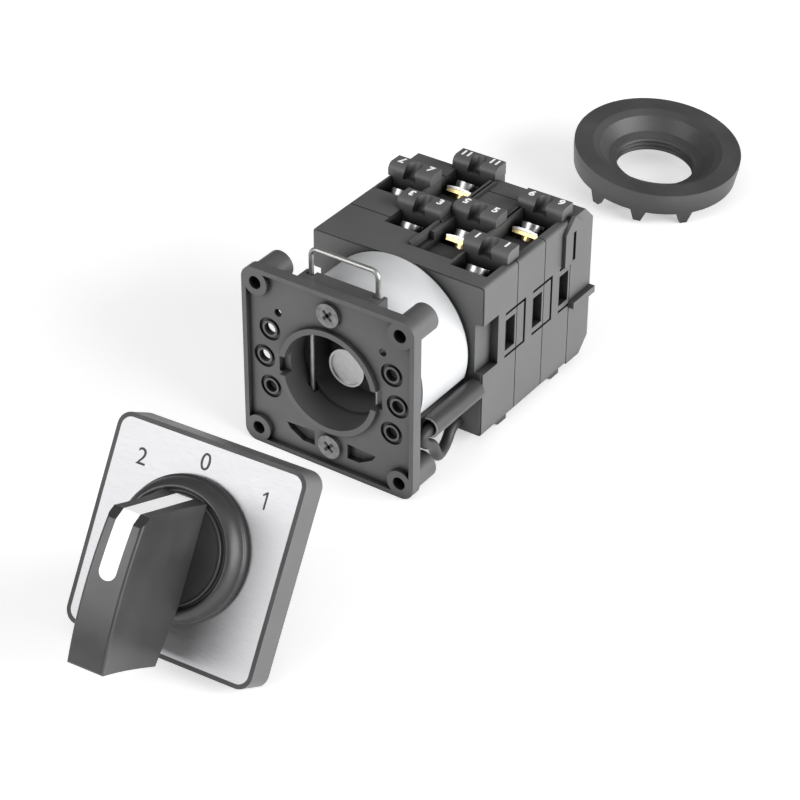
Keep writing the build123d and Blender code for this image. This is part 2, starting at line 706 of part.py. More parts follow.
def make_terminal_screws():
    """Slotted screws of all the terminals, each a separate solid."""
    with BuildPart() as screws:
        for side, level, x in LEVELS:
            for up in (1, -1):
                seat = terminal_plane(x, level, up)
                top = CLAMP_THICKNESS + TERMINAL_HEAD_HEIGHT
                with BuildSketch(seat.offset(CLAMP_THICKNESS)):
                    Circle(TERMINAL_SCREW_RADIUS)
                extrude(amount=-TERMINAL_SCREW_LENGTH)
                with BuildSketch(seat.offset(CLAMP_THICKNESS)):
                    Circle(TERMINAL_HEAD_RADIUS)
                extrude(amount=TERMINAL_HEAD_HEIGHT)
                with BuildSketch(seat.offset(top)):
                    Rectangle(2 * TERMINAL_HEAD_RADIUS, TERMINAL_SLOT_WIDTH)
                extrude(amount=-CROSS_DEPTH, mode=Mode.SUBTRACT)
    return finish(screws, "terminal_screws")


def make_clamp_washers():
    """Saddle washers under the screw heads, their sides bent down over the wire."""
    with BuildPart() as washers:
        for side, level, x in LEVELS:
            for up in (1, -1):
                seat = terminal_plane(x, level, up)
                section = Plane(origin=seat.origin, x_dir=seat.x_dir, z_dir=-seat.y_dir)
                with BuildSketch(section.offset(-CLAMP_RADIUS)):
                    with BuildLine():
                        under = ThreePointArc((-CLAMP_HALF_WIDTH, 0), (0, CLAMP_RISE / 9), (CLAMP_HALF_WIDTH, 0))
                        over = ThreePointArc(
                            (-CLAMP_HALF_WIDTH, CLAMP_THICKNESS / 2),
                            (0, CLAMP_THICKNESS),
                            (CLAMP_HALF_WIDTH, CLAMP_THICKNESS / 2),
                        )
                        Line(under @ 0, over @ 0)
                        Line(under @ 1, over @ 1)
                    make_face()
                extrude(amount=2 * CLAMP_RADIUS)
                with BuildSketch(seat):
                    Circle(TERMINAL_SCREW_RADIUS + HOLE_CLEARANCE)
                extrude(amount=CLAMP_THICKNESS, mode=Mode.SUBTRACT)
    return finish(washers, "clamp_washers")


def cut_box(x_low, x_high, y_low, y_high, z_low, z_high):
    """Take a straight-sided space out of the piece being made."""
    with BuildSketch(depth_plane(y_low)) as space:
        with Locations(((x_low + x_high) / 2, (z_low + z_high) / 2)):
            Rectangle(x_high - x_low, z_high - z_low)
    extrude(space.sketch, amount=-(y_high - y_low), mode=Mode.SUBTRACT)


def cut_terminals(front, rear):
    """Open the pockets, strip slots and chambers of the levels that reach this piece."""
    for side, level, x in LEVELS:
        right = side > 0
        seam = max([s for s in SEAMS if s < level] or [BLOCK_FRONT])
        behind = min([s for s in SEAMS if s > level] or [COVER_REAR])
        chamber_low = level - CHAMBER_HALF_DEPTH if right else seam
        chamber_high = behind if right else level + CHAMBER_HALF_DEPTH
        low_x, high_x = sorted((side * CHAMBER_START, side * CHAMBER_END))
        if chamber_low >= front - SEAM and chamber_high <= rear + SEAM:
            cut_box(low_x, high_x, chamber_low, chamber_high, -CHAMBER_HALF_HEIGHT, CHAMBER_HALF_HEIGHT)
            guide = PLUNGER_HEIGHT / 2 + PLUNGER_CLEARANCE
            guide_x = sorted((side * (TUNNEL_RADIUS - 1), side * CHAMBER_START))
            cut_box(*guide_x, chamber_low, chamber_high, -guide, guide)
        for up in (1, -1):
            shift = 0 if up > 0 else BOTTOM_CAP_SHIFT / 3
            pocket_low = max(front, level + shift - POCKET_FRONT)
            pocket_high = min(rear, level + shift + POCKET_REAR)
            if pocket_high - pocket_low > SEAM:
                floor, roof = sorted((mirror_height(POCKET_FLOOR, up), mirror_height(BLOCK_TOP + CAP_HEIGHT, up)))
                cut_box(x - POCKET_HALF_WIDTH, x + POCKET_HALF_WIDTH, pocket_low, pocket_high, floor, roof)
            slot_low = max(front, level - STRIP_WIDTH / 2 - STRIP_CLEARANCE)
            slot_high = min(rear, chamber_high if right else level + STRIP_WIDTH / 2 + STRIP_CLEARANCE)
            if not right:
                slot_low = max(front, seam)
            if slot_high - slot_low > SEAM:
                tip = side * (TIP_FACE - STRIP_THICKNESS / 2)
                reach = STRIP_THICKNESS / 2 + STRIP_CLEARANCE
                bottom, top = sorted((0, mirror_height(POCKET_FLOOR + STRIP_THICKNESS + 2 * STRIP_CLEARANCE, up)))
                cut_box(tip - reach, tip + reach, slot_low, slot_high, bottom, top)
                run = sorted((tip, x))
                run_z = sorted((
                    mirror_height(POCKET_FLOOR, up),
                    mirror_height(POCKET_FLOOR + STRIP_THICKNESS + 2 * STRIP_CLEARANCE, up),
                ))
                cut_box(run[0] - reach, run[1] + reach, slot_low, slot_high, *run_z)


def add_caps(front, rear):
    """Number bars behind the terminals, with a round groove for the screwdriver."""
    for side, level, x in LEVELS:
        for up in (1, -1):
            low = level + POCKET_REAR + (0 if up > 0 else BOTTOM_CAP_SHIFT)
            if not front <= low + CAP_DEPTH / 2 < rear:
                continue
            height = CAP_HEIGHT if up > 0 else BOTTOM_CAP_HEIGHT
            base = mirror_height(BLOCK_TOP, 1) if up > 0 else BLOCK_BOTTOM
            with BuildPart() as cap:
                with BuildSketch(Plane.YZ.offset(x - CAP_HALF_WIDTH)):
                    with BuildLine():
                        Polyline(
                            (low, base),
                            (low, base + up * (height - CAP_ROUND)),
                        )
                        RadiusArc(
                            (low, base + up * (height - CAP_ROUND)),
                            (low + CAP_ROUND, base + up * height),
                            CAP_ROUND * up,
                        )
                        Polyline(
                            (low + CAP_ROUND, base + up * height),
                            (low + CAP_DEPTH, base + up * height),
                            (low + CAP_DEPTH, base),
                            (low, base),
                        )
                    make_face()
                extrude(amount=2 * CAP_HALF_WIDTH)
                groove = Plane(
                    origin=(x, low, base),
                    x_dir=(1, 0, 0),
                    z_dir=(0, sin(radians(TERMINAL_TILT)), up * cos(radians(TERMINAL_TILT))),
                )
                with BuildSketch(groove):
                    Circle(DRIVER_GROOVE_RADIUS)
                extrude(amount=2 * CAP_HEIGHT, mode=Mode.SUBTRACT)
            add(cap.part)


def block_outline(front, rear):
    """The plain rounded body of a stage, drawn in a little along its front seam."""
    for start, end, inset in ((front, front + SEAM, SEAM_GROOVE), (front + SEAM, rear, 0)):
        with BuildSketch(depth_plane(start)) as outline:
            with Locations((0, BLOCK_MIDDLE)):
                RectangleRounded(2 * (BLOCK_HALF_WIDTH - inset), BLOCK_TOP - BLOCK_BOTTOM - 2 * inset, BLOCK_EDGE)
        extrude(outline.sketch, amount=-(end - start))


def cut_roof(front, rear):
    """Trenches in the roof, each running up to the next terminal of its column."""
    after_cap = POCKET_REAR + CAP_DEPTH
    for x, start, level in (
        (TERMINAL_RIGHT[0], RIGHT_LEVEL + after_cap + TRENCH_WALL, RIGHT_LEVEL + 2 * STAGE_PITCH),
        (TERMINAL_RIGHT[1], BLOCK_FRONT + RECESS_LENGTH, RIGHT_LEVEL + STAGE_PITCH),
        (TERMINAL_LEFT[0], LEFT_LEVEL + after_cap, LEFT_LEVEL + 2 * STAGE_PITCH),
    ):
        low, high = max(front, start), min(rear, level - POCKET_FRONT)
        if high > low:
            cut_box(x - POCKET_HALF_WIDTH, x + POCKET_HALF_WIDTH, low, high, TRENCH_FLOOR, BLOCK_TOP)


def cut_sides(stage, front, rear):
    """Recess, clip-arm windows and slots on both sides of a stage."""
    skin = BLOCK_HALF_WIDTH - SIDE_RECESS
    for side in (-1, 1):
        x_low, x_high = sorted((side * skin, side * (BLOCK_HALF_WIDTH + SIDE_RECESS)))
        if stage == 0:
            cut_box(x_low, x_high, front, front + RECESS_LENGTH, RECESS_BOTTOM, RECESS_TOP)
        window = rear - ARM_WINDOW_OFFSET
        cut_box(x_low, x_high, window, window + ARM_WINDOW_LENGTH, ARM_WINDOW_BOTTOM, ARM_WINDOW_TOP)
        slot = front + ARM_WINDOW_LENGTH
        if stage > 0:
            cut_box(x_low, x_high, slot - ARM_SLOT_WIDTH, slot, ARM_SLOT_BOTTOM, ARM_SLOT_TOP)
        # Shallow grooves above and below set the arm off from the wall, across the seam
        groove = sorted((side * (BLOCK_HALF_WIDTH - ARM_GROOVE), side * (BLOCK_HALF_WIDTH + SIDE_RECESS)))
        for edge in (ARM_SLOT_TOP - ARM_GROOVE, ARM_SLOT_BOTTOM):
            cut_box(*groove, window, rear, edge, edge + ARM_GROOVE)
            if stage > 0:
                cut_box(*groove, front, slot, edge, edge + ARM_GROOVE)


def cut_passages(front, rear):
    """The cam tunnel and the holes for the tie screws."""
    with BuildSketch(depth_plane(front)) as holes:
        with Locations((TIE_X, TIE_Z), (-TIE_X, -TIE_Z)):
            Circle(TIE_RADIUS + HOLE_CLEARANCE)
    extrude(holes.sketch, amount=-(rear - front), mode=Mode.SUBTRACT)


def make_stages():
    """The stage housings, stacked one behind the other."""
    for stage in range(STAGE_COUNT):
        front, rear = SEAMS[stage], SEAMS[stage + 1]
        with BuildPart() as housing:
            block_outline(front, rear)
            add_caps(front, rear)
            tunnel_front = front + FRONT_WALL if stage == 0 else front
            with BuildSketch(depth_plane(tunnel_front)):
                Circle(TUNNEL_RADIUS)
            extrude(amount=-(rear - tunnel_front), mode=Mode.SUBTRACT)
            if stage == 0:
                with BuildSketch(depth_plane(front)):
                    Circle(SHAFT_SIDE / sqrt(2) + SHAFT_CLEARANCE)
                extrude(amount=-FRONT_WALL, mode=Mode.SUBTRACT)
                # The roof steps down on the right, in front of the first terminal
                cut_box(ROOF_STEP_LEFT, TERMINAL_RIGHT[1] + POCKET_HALF_WIDTH, front + RECESS_LENGTH,
                        rear, BLOCK_TOP - ROOF_STEP, BLOCK_TOP)
            cut_roof(front, rear)
            cut_terminals(front, rear)
            cut_passages(front, rear)
            cut_sides(stage, front, rear)
        finish(housing, f"stage_{stage + 1}_housing")


def make_end_cover():
    """Rear piece with the last chamber, the shaft's bearing and two side ears."""
    front, rear = SEAMS[-1], COVER_REAR
    with BuildPart() as cover:
        with BuildSketch(Plane.YZ.offset(-BLOCK_HALF_WIDTH)):
            with BuildLine():
                Polyline(
                    (front + SEAM, BLOCK_BOTTOM),
                    (front + SEAM, BLOCK_BOTTOM + SEAM_GROOVE),
                    (front, BLOCK_BOTTOM + SEAM_GROOVE),
                    (front, BLOCK_TOP - SEAM_GROOVE),
                    (front + SEAM, BLOCK_TOP - SEAM_GROOVE),
                    (front + SEAM, BLOCK_TOP),
                    (rear - COVER_SLOPE, BLOCK_TOP),
                    (rear, BLOCK_TOP - COVER_SLOPE),
                    (rear, BLOCK_BOTTOM + COVER_SLOPE),
                    (rear - COVER_SLOPE, BLOCK_BOTTOM),
                    close=True,
                )
            make_face()
        extrude(amount=2 * BLOCK_HALF_WIDTH)
        for side in (-1, 1):
            groove = sorted((side * (BLOCK_HALF_WIDTH - SEAM_GROOVE), side * BLOCK_HALF_WIDTH))
            cut_box(*groove, front, front + SEAM, BLOCK_BOTTOM, BLOCK_TOP)
        add_caps(front, rear + CAP_DEPTH)
        with BuildSketch(depth_plane(front)):
            Circle(TUNNEL_RADIUS)
        extrude(amount=-(rear - front - JOURNAL_LENGTH + FRONT_WALL), mode=Mode.SUBTRACT)
        with BuildSketch(depth_plane(front)):
            Circle(JOURNAL_RADIUS + RUNNING_FIT)
        extrude(amount=-(rear - front - FRONT_WALL + RUNNING_FIT), mode=Mode.SUBTRACT)
        cut_terminals(front, rear)
        cut_passages(front, rear)
        with BuildSketch(depth_plane(rear)):
            with Locations((TIE_X, TIE_Z), (-TIE_X, -TIE_Z)):
                Circle(TIE_HEAD_RADIUS + HOLE_CLEARANCE)
        extrude(amount=TIE_HEAD_HEIGHT, mode=Mode.SUBTRACT)
        # Ears that clip over the last stage, and a short shelf below them
        for side in (-1, 1):
            wall = Plane.YZ.offset(side * BLOCK_HALF_WIDTH)
            with BuildSketch(wall):
                with BuildLine():
                    Polyline(
                        (front - EAR_HALF_LENGTH, EAR_SHOULDER),
                        (front, EAR_TOP),
                        (front + EAR_HALF_LENGTH, EAR_SHOULDER),
                        (front + EAR_HALF_LENGTH, EAR_BOTTOM),
                        (front - EAR_HALF_LENGTH, EAR_BOTTOM),
                        close=True,
                    )
                make_face()
                with Locations((front, (EAR_SHOULDER + EAR_BOTTOM) / 2)):
                    Rectangle(EAR_SLOT_WIDTH, EAR_SHOULDER - EAR_BOTTOM - EAR_SLOT_WIDTH, mode=Mode.SUBTRACT)
            extrude(amount=side * EAR_THICKNESS)
            with BuildSketch(wall):
                with Locations(((front + rear) / 2, RECESS_BOTTOM)):
                    Rectangle(rear - front, SHELF_HEIGHT)
            extrude(amount=side * SHELF_REACH)
    return finish(cover, "end_cover")


def make_tie_screws():
    """Two long screws that clamp cover, stages and index housing together."""
    with BuildPart() as ties:
        head_front = COVER_REAR - TIE_HEAD_HEIGHT
        for x, z in ((TIE_X, TIE_Z), (-TIE_X, -TIE_Z)):
            with BuildSketch(depth_plane(head_front)):
                with Locations((x, z)):
                    Circle(TIE_RADIUS)
            extrude(amount=head_front - BLOCK_FRONT + TIE_ENGAGEMENT)
            with BuildSketch(depth_plane(head_front)):
                with Locations((x, z)):
                    Circle(TIE_HEAD_RADIUS)
            extrude(amount=-TIE_HEAD_HEIGHT)
            with BuildSketch(depth_plane(COVER_REAR)):
                with Locations((x, z)):
                    Rectangle(2 * TIE_HEAD_RADIUS, TERMINAL_SLOT_WIDTH)
            extrude(amount=CROSS_DEPTH, mode=Mode.SUBTRACT)
    return finish(ties, "tie_screws")


def make_spacer_tube():
    """Open tube beside the drum that leads the link wire to the block."""
    with BuildPart() as tube:
        with BuildSketch(depth_plane(TUBE_FRONT)):
            with Locations((TUBE_X, TUBE_Z)):
                Circle(TUBE_RADIUS)
                Circle(TUBE_BORE, mode=Mode.SUBTRACT)
        extrude(amount=-(BLOCK_FRONT - TUBE_FRONT))
    return finish(tube, "spacer_tube")


def make_link_wire():
    """Insulated wire that comes out of the tube and turns back under the block's edge."""
    low = FLOOR + WIRE_RADIUS + HOLE_CLEARANCE
    bend = TUBE_FRONT - 2 * WIRE_RADIUS
    boss = PLATE_THICKNESS + CORNER_BOSS_LENGTH
    end_z = BLOCK_BOTTOM + WIRE_END_HEIGHT
    points = (
        (TUBE_X, BLOCK_FRONT, TUBE_Z),
        (TUBE_X, bend, TUBE_Z),
        (TUBE_X - WIRE_OUT[0], bend + WIRE_OUT[1], TUBE_Z - WIRE_OUT[2]),
        (TUBE_X - WIRE_DOWN[0], boss + 2 * WIRE_RADIUS, TUBE_Z - WIRE_DOWN[1]),
        (TUBE_X - WIRE_LOW_X, boss + WIRE_LOW_Y, low),
        (TUBE_X - WIRE_TURN_X, BLOCK_FRONT - WIRE_TURN_Y, low),
        (TUBE_X - WIRE_END_X, BLOCK_FRONT - WIRE_END_Y, end_z),
        (TUBE_X - WIRE_END_X, BLOCK_FRONT, end_z),
    )
    with BuildPart() as wire:
        with BuildLine() as path:
            FilletPolyline(*points, radius=WIRE_BEND)
        with BuildSketch(Plane(origin=path.line @ 0, z_dir=path.line % 0)):
            Circle(WIRE_RADIUS)
        sweep(path=path.line)
    return finish(wire, "link_wire")


# The front unit leans back until its skirt and the end of its bush both touch the floor
FACE_LEAN = degrees(atan2(FACE_SIZE / 2 - BUSH_RADIUS, BUSH_LENGTH))
FACE_HEIGHT = FLOOR + FACE_SIZE / 2 * cos(radians(FACE_LEAN)) + FACE_DEPTH * sin(radians(FACE_LEAN))
FACE_OUT = Vector(0, -cos(radians(FACE_LEAN)), sin(radians(FACE_LEAN))).rotate(Axis.Z, FACE_TURN)
FACE_RIGHT = Vector(1, 0, 0).rotate(Axis.Z, FACE_TURN)
FACE = Plane(origin=(FACE_X, FACE_Y, FACE_HEIGHT), x_dir=FACE_RIGHT, z_dir=FACE_OUT)
FACE_AXIS = Axis(FACE.origin, FACE.z_dir)
# In this plane X is the radius from the knob's axis and Y the height above the face
FACE_SIDE = Plane(origin=FACE.origin, x_dir=FACE.x_dir, z_dir=FACE.x_dir.cross(FACE.z_dir))
# In this plane X is up the face and Y the height above it
FACE_PROFILE = Plane(origin=FACE.origin, x_dir=FACE.y_dir, z_dir=FACE.y_dir.cross(FACE.z_dir))


def make_face_frame():
    """Moulded square frame, hollow behind, with a sunk seat for the legend plate."""
    with BuildPart() as frame:
        with BuildSketch(FACE):
            RectangleRounded(FACE_SIZE, FACE_SIZE, FACE_CORNER)
        extrude(amount=-FACE_DEPTH)
        with BuildSketch(FACE):
            RectangleRounded(FACE_SIZE - 2 * FACE_BORDER, FACE_SIZE - 2 * FACE_BORDER, LEGEND_CORNER)
        extrude(amount=-LEGEND_THICKNESS, mode=Mode.SUBTRACT)
        with BuildSketch(FACE.offset(-FACE_DEPTH)):
            RectangleRounded(FACE_SIZE - 2 * FACE_WALL, FACE_SIZE - 2 * FACE_WALL, FACE_CORNER - FACE_WALL)
            Circle(SEAL_OUTER_RADIUS + FACE_WALL, mode=Mode.SUBTRACT)
        extrude(amount=FACE_DEPTH - FACE_SKIN - LEGEND_THICKNESS, mode=Mode.SUBTRACT)
        with BuildSketch(FACE.offset(-FACE_DEPTH)):
            Circle(SEAL_OUTER_RADIUS)
            Circle(SEAL_INNER_RADIUS, mode=Mode.SUBTRACT)
        extrude(amount=SEAL_THICKNESS, mode=Mode.SUBTRACT)
        with BuildSketch(FACE.offset(-FACE_DEPTH)):
            Circle(BUSH_FLANGE_RADIUS)
        extrude(amount=BUSH_FLANGE_THICKNESS, mode=Mode.SUBTRACT)
        with BuildSketch(FACE):
            Circle(FACE_BORE)
        extrude(amount=-FACE_DEPTH, mode=Mode.SUBTRACT)
    return finish(frame, "face_frame")


def make_legend_plate():
    """Brushed metal plate that carries the position numbers."""
    with BuildPart() as legend:
        with BuildSketch(FACE.offset(-LEGEND_THICKNESS)):
            RectangleRounded(FACE_SIZE - 2 * FACE_BORDER, FACE_SIZE - 2 * FACE_BORDER, LEGEND_CORNER)
            Circle(FACE_BORE, mode=Mode.SUBTRACT)
        extrude(amount=LEGEND_THICKNESS)
    return finish(legend, "legend_plate")


def make_front_bush():
    """Bush that passes the panel: flange, two keys and the groove for the bail."""
    back = -FACE_DEPTH
    with BuildPart() as bush:
        with BuildSketch(FACE_SIDE):
            with BuildLine():
                Polyline(
                    (BUSH_INNER_RADIUS, back + BUSH_FLANGE_THICKNESS),
                    (BUSH_FLANGE_RADIUS, back + BUSH_FLANGE_THICKNESS),
                    (BUSH_FLANGE_RADIUS, back),
                    (BUSH_RADIUS, back),
                    (BUSH_RADIUS, back - BUSH_GROOVE_OFFSET),
                    (BUSH_GROOVE_RADIUS, back - BUSH_GROOVE_OFFSET),
                    (BUSH_GROOVE_RADIUS, back - BUSH_GROOVE_OFFSET - BUSH_GROOVE_WIDTH),
                    (BUSH_RADIUS, back - BUSH_GROOVE_OFFSET - BUSH_GROOVE_WIDTH),
                    (BUSH_RADIUS, back - BUSH_LENGTH),
                    (BUSH_INNER_RADIUS, back - BUSH_LENGTH),
                    close=True,
                )
            make_face()
        revolve(axis=FACE_AXIS)
        middle = (BUSH_RADIUS + BUSH_INNER_RADIUS) / 2
        for side in (-1, 1):
            with BuildSketch(FACE.offset(back)):
                with Locations((side * (middle + BUSH_KEY_REACH) / 2, 0)):
                    Rectangle(BUSH_KEY_REACH - middle, BUSH_KEY_WIDTH)
            extrude(amount=-BUSH_KEY_LENGTH)
    return finish(bush, "front_bush")


def make_panel_seal():
    """Rubber ring in the back of the frame."""
    with BuildPart() as seal:
        with BuildSketch(FACE.offset(-FACE_DEPTH)):
            Circle(SEAL_OUTER_RADIUS)
            Circle(SEAL_INNER_RADIUS, mode=Mode.SUBTRACT)
        extrude(amount=SEAL_THICKNESS)
    return finish(seal, "panel_seal")


def make_knob_collar():
    """Round skirt of the knob with its cone, groove and inner disc."""
    top = KNOB_LIFT + COLLAR_HEIGHT
    with BuildPart() as collar:
        with BuildSketch(FACE_SIDE):
            with BuildLine():
                Polyline(
                    (0, KNOB_LIFT),
                    (COLLAR_RADIUS, KNOB_LIFT),
                    (COLLAR_RADIUS, KNOB_LIFT + COLLAR_EDGE),
                    (COLLAR_TOP_RADIUS, top),
                    (COLLAR_GROOVE_RADIUS, top),
                    (COLLAR_GROOVE_RADIUS, top - COLLAR_GROOVE_DEPTH),
                    (DISC_RADIUS, top - COLLAR_GROOVE_DEPTH),
                    (DISC_RADIUS, top),
                    (0, top),
                    close=True,
                )
            make_face()
        revolve(axis=FACE_AXIS)
    return finish(collar, "knob_collar")


def handle_line():
    """Upper and front line of the handle, from the disc to the end of the marker."""
    base = KNOB_LIFT + COLLAR_HEIGHT
    return [
        (HANDLE_BASE_TOP, base),
        (HANDLE_FRONT_TOP + HANDLE_BEND / 4, HANDLE_FRONT - HANDLE_BEND),
        (HANDLE_FRONT_TOP - HANDLE_BEND, HANDLE_FRONT),
    ]


def handle_profile(width):
    """Side outline of the handle with its slightly bowed front, in the width asked for."""
    base = KNOB_LIFT + COLLAR_HEIGHT
    line = handle_line()
    middle = (line[2][0] + HANDLE_FRONT_BOTTOM) / 2
    with BuildPart() as profile:
        with BuildSketch(FACE_PROFILE.offset(-width / 2)):
            with BuildLine():
                Polyline(*line)
                ThreePointArc(line[2], (middle, HANDLE_FRONT + HANDLE_BOW), (HANDLE_FRONT_BOTTOM, HANDLE_FRONT))
                Polyline(
                    (HANDLE_FRONT_BOTTOM, HANDLE_FRONT),
                    (HANDLE_HEEL_BOTTOM, HANDLE_HEEL_OUT),
                    (HANDLE_BASE_BOTTOM, base),
                    line[0],
                )
            make_face()
        extrude(amount=width)
    return profile.part


def marker_blank():
    """The inlay's strip, which is also the shape of its groove in the handle."""
    line = handle_line()
    with BuildPart() as blank:
        with BuildSketch(FACE_PROFILE.offset(-MARKER_WIDTH / 2)):
            with BuildLine():
                Polyline(
                    *line,
                    (line[2][0], HANDLE_FRONT + 2 * HANDLE_BOW),
                    (MARKER_END, HANDLE_FRONT + 2 * HANDLE_BOW),
                    (MARKER_END, HANDLE_FRONT - MARKER_DEPTH),
                    (line[2][0] - MARKER_DEPTH / 2, HANDLE_FRONT - MARKER_DEPTH),
                    (line[1][0] - MARKER_DEPTH, line[1][1] - MARKER_DEPTH / 2),
                    (line[0][0] - MARKER_DEPTH, line[0][1]),
                    close=True,
                )
            make_face()
        extrude(amount=MARKER_WIDTH)
        end = blank.edges().filter_by(FACE_AXIS).sort_by(Axis(FACE.origin, FACE.y_dir))[:2]
        fillet(end, radius=MARKER_WIDTH / 2 - HOLE_CLEARANCE)
        add(handle_profile(HANDLE_WIDTH), mode=Mode.INTERSECT)
    return blank.part


def make_handle():
    """Lever grip: short pointer end above, long grip below, waisted sides."""
    base = KNOB_LIFT + COLLAR_HEIGHT
    crown = HANDLE_FRONT + 2 * HANDLE_BOW
    middle = (base + HANDLE_FRONT) / 2
    wide, narrow = HANDLE_WIDTH / 2, HANDLE_FRONT_WIDTH / 2
    waist = (wide + narrow) / 2 - HANDLE_WAIST
    with BuildPart() as handle:
        with BuildSketch(FACE_SIDE):
            with BuildLine():
                ThreePointArc((wide, base), (waist, middle), (narrow, crown))
                Line((narrow, crown), (-narrow, crown))
                ThreePointArc((-narrow, crown), (-waist, middle), (-wide, base))
                Line((-wide, base), (wide, base))
            make_face()
        extrude(amount=-2 * HANDLE_FRONT_BOTTOM, both=True)
        add(handle_profile(2 * HANDLE_WIDTH), mode=Mode.INTERSECT)
        front_edges = handle.faces().sort_by(FACE_AXIS)[-1].edges()
        fillet(front_edges, radius=HANDLE_EDGE)
        add(marker_blank(), mode=Mode.SUBTRACT)
    return finish(handle, "handle")


def make_marker():
    """White inlay along the pointer."""
    with BuildPart() as marker:
        add(marker_blank())
    return finish(marker, "handle_marker")


def make_spindle():
    """Drive spindle that turns in the bush and ends in a socket for the coupling."""
    end = -FACE_DEPTH - BUSH_LENGTH + SPINDLE_CLEARANCE
    with BuildPart() as spindle:
        with BuildSketch(FACE.offset(end)):
            Circle(BUSH_INNER_RADIUS - RUNNING_FIT)
        extrude(amount=KNOB_LIFT - end)
        with BuildSketch(FACE.offset(end)):
            Circle(SPINDLE_SOCKET_RADIUS)
        extrude(amount=SPINDLE_SOCKET_DEPTH, mode=Mode.SUBTRACT)
    return finish(spindle, "drive_spindle")


def make_ring_nut():
    """Dished ring nut with a broad rim and teeth under its skirt."""
    lean = Vector(NUT_LEAN[0], NUT_LEAN[1], 1).normalized()
    depth = NUT_SKIRT + NUT_TOOTH_HEIGHT
    rise = depth * lean.Z + NUT_RADIUS * sqrt(1 - lean.Z ** 2)
    top = Plane(origin=(NUT_X, NUT_Y, FLOOR + rise), x_dir=(lean.Z, 0, -lean.X), z_dir=lean)
    turned = Plane(origin=top.origin, x_dir=top.x_dir, z_dir=top.x_dir.cross(top.z_dir))
    inner_rim = NUT_RADIUS - NUT_RIM_WIDTH
    collar = NUT_BORE + NUT_COLLAR_WALL
    with BuildPart() as nut:
        with BuildSketch(turned):
            with BuildLine():
                Polyline(
                    (NUT_RADIUS, 0),
                    (inner_rim, 0),
                    (inner_rim - NUT_WALL, -NUT_WALL / 2),
                    (collar, -NUT_COLLAR_TOP + NUT_WALL / 3),
                    (NUT_BORE, -NUT_COLLAR_TOP),
                    (NUT_BORE, -NUT_COLLAR_BOTTOM),
                    (collar, -NUT_COLLAR_BOTTOM),
                    (collar, -NUT_COLLAR_TOP - NUT_WALL),
                    (NUT_RADIUS - 2 * NUT_WALL, -2 * NUT_WALL),
                    (NUT_RADIUS - NUT_WALL, -NUT_SKIRT),
                    (NUT_RADIUS - NUT_WALL / 4, -NUT_SKIRT),
                    (NUT_RADIUS, -NUT_WALL),
                    close=True,
                )
            make_face()
        revolve(axis=Axis(top.origin, top.z_dir))
        # Two opposite groups of tapered teeth under the skirt
        for angle in NUT_TEETH:
            outward = top.x_dir * cos(radians(angle)) + top.y_dir * sin(radians(angle))
            foot = Plane(
                origin=top.origin + outward * (NUT_RADIUS - NUT_WALL),
                x_dir=top.z_dir.cross(outward),
                z_dir=outward,
            )
            with BuildSketch(foot):
                with BuildLine():
                    Polyline(
                        (-NUT_TOOTH_ROOT / 2, -NUT_SKIRT + NUT_WALL / 4),
                        (NUT_TOOTH_ROOT / 2, -NUT_SKIRT + NUT_WALL / 4),
                        (NUT_TOOTH_TIP / 2, -NUT_SKIRT - NUT_TOOTH_HEIGHT),
                        (-NUT_TOOTH_TIP / 2, -NUT_SKIRT - NUT_TOOTH_HEIGHT),
                        close=True,
                    )
                make_face()
            extrude(amount=NUT_WALL * 3 / 4)
    return finish(nut, "ring_nut")


def main():
    os.makedirs("parts", exist_ok=True)
    make_mounting_plate()
    make_plate_screws()
    make_bail()
    make_index_housing()
    make_rating_label()
    make_index_wheel()
    make_index_springs()
    make_coupling()
    make_shaft()
    make_cams()
    make_contacts()
    make_contact_springs()
    make_fixed_contacts()
    make_terminal_screws()
    make_clamp_washers()
    make_stages()
    make_end_cover()
    make_tie_screws()
    make_spacer_tube()
    make_link_wire()
    make_face_frame()
    make_legend_plate()
    make_front_bush()
    make_panel_seal()
    make_knob_collar()
    make_handle()
    make_marker()
    make_spindle()
    make_ring_nut()


main()
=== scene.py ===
# %% [markdown]
# This lesson dresses a small cam switch that lies in three groups on a pale floor: the switch with its
# square mounting plate, the front unit with the lever knob, and the ring nut. The solids come from a
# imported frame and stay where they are. We add finishes, printing, threads, a few small pieces and light.

# %% Load the frame
from math import atan2, cos, pi, radians, sin

import bmesh
import bpy
from mathutils import Matrix, Vector


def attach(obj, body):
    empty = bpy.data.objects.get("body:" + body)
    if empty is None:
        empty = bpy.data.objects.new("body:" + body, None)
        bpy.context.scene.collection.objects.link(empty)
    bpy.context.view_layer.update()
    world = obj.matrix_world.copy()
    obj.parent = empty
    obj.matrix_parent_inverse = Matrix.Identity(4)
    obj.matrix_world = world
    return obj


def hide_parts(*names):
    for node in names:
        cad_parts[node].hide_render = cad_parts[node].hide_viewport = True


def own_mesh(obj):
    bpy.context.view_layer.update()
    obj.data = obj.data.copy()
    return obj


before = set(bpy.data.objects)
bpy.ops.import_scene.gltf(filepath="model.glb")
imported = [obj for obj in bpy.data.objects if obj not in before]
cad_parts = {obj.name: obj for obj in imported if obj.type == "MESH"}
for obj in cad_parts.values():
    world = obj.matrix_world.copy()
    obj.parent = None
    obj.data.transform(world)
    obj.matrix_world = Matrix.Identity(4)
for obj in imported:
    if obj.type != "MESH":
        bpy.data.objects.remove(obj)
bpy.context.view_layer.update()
MM = 0.001

# %% [markdown]
# The camera comes first, because every finish is judged through it. A real lens has three facts: where
# it stands, which way it looks, and how long it is. One could move a camera until the picture looks
# right, but these were fitted to the edges of the mounting plate and the contact block, so here they
# are plain numbers: turn, tilt, roll, and focal length in pixels.

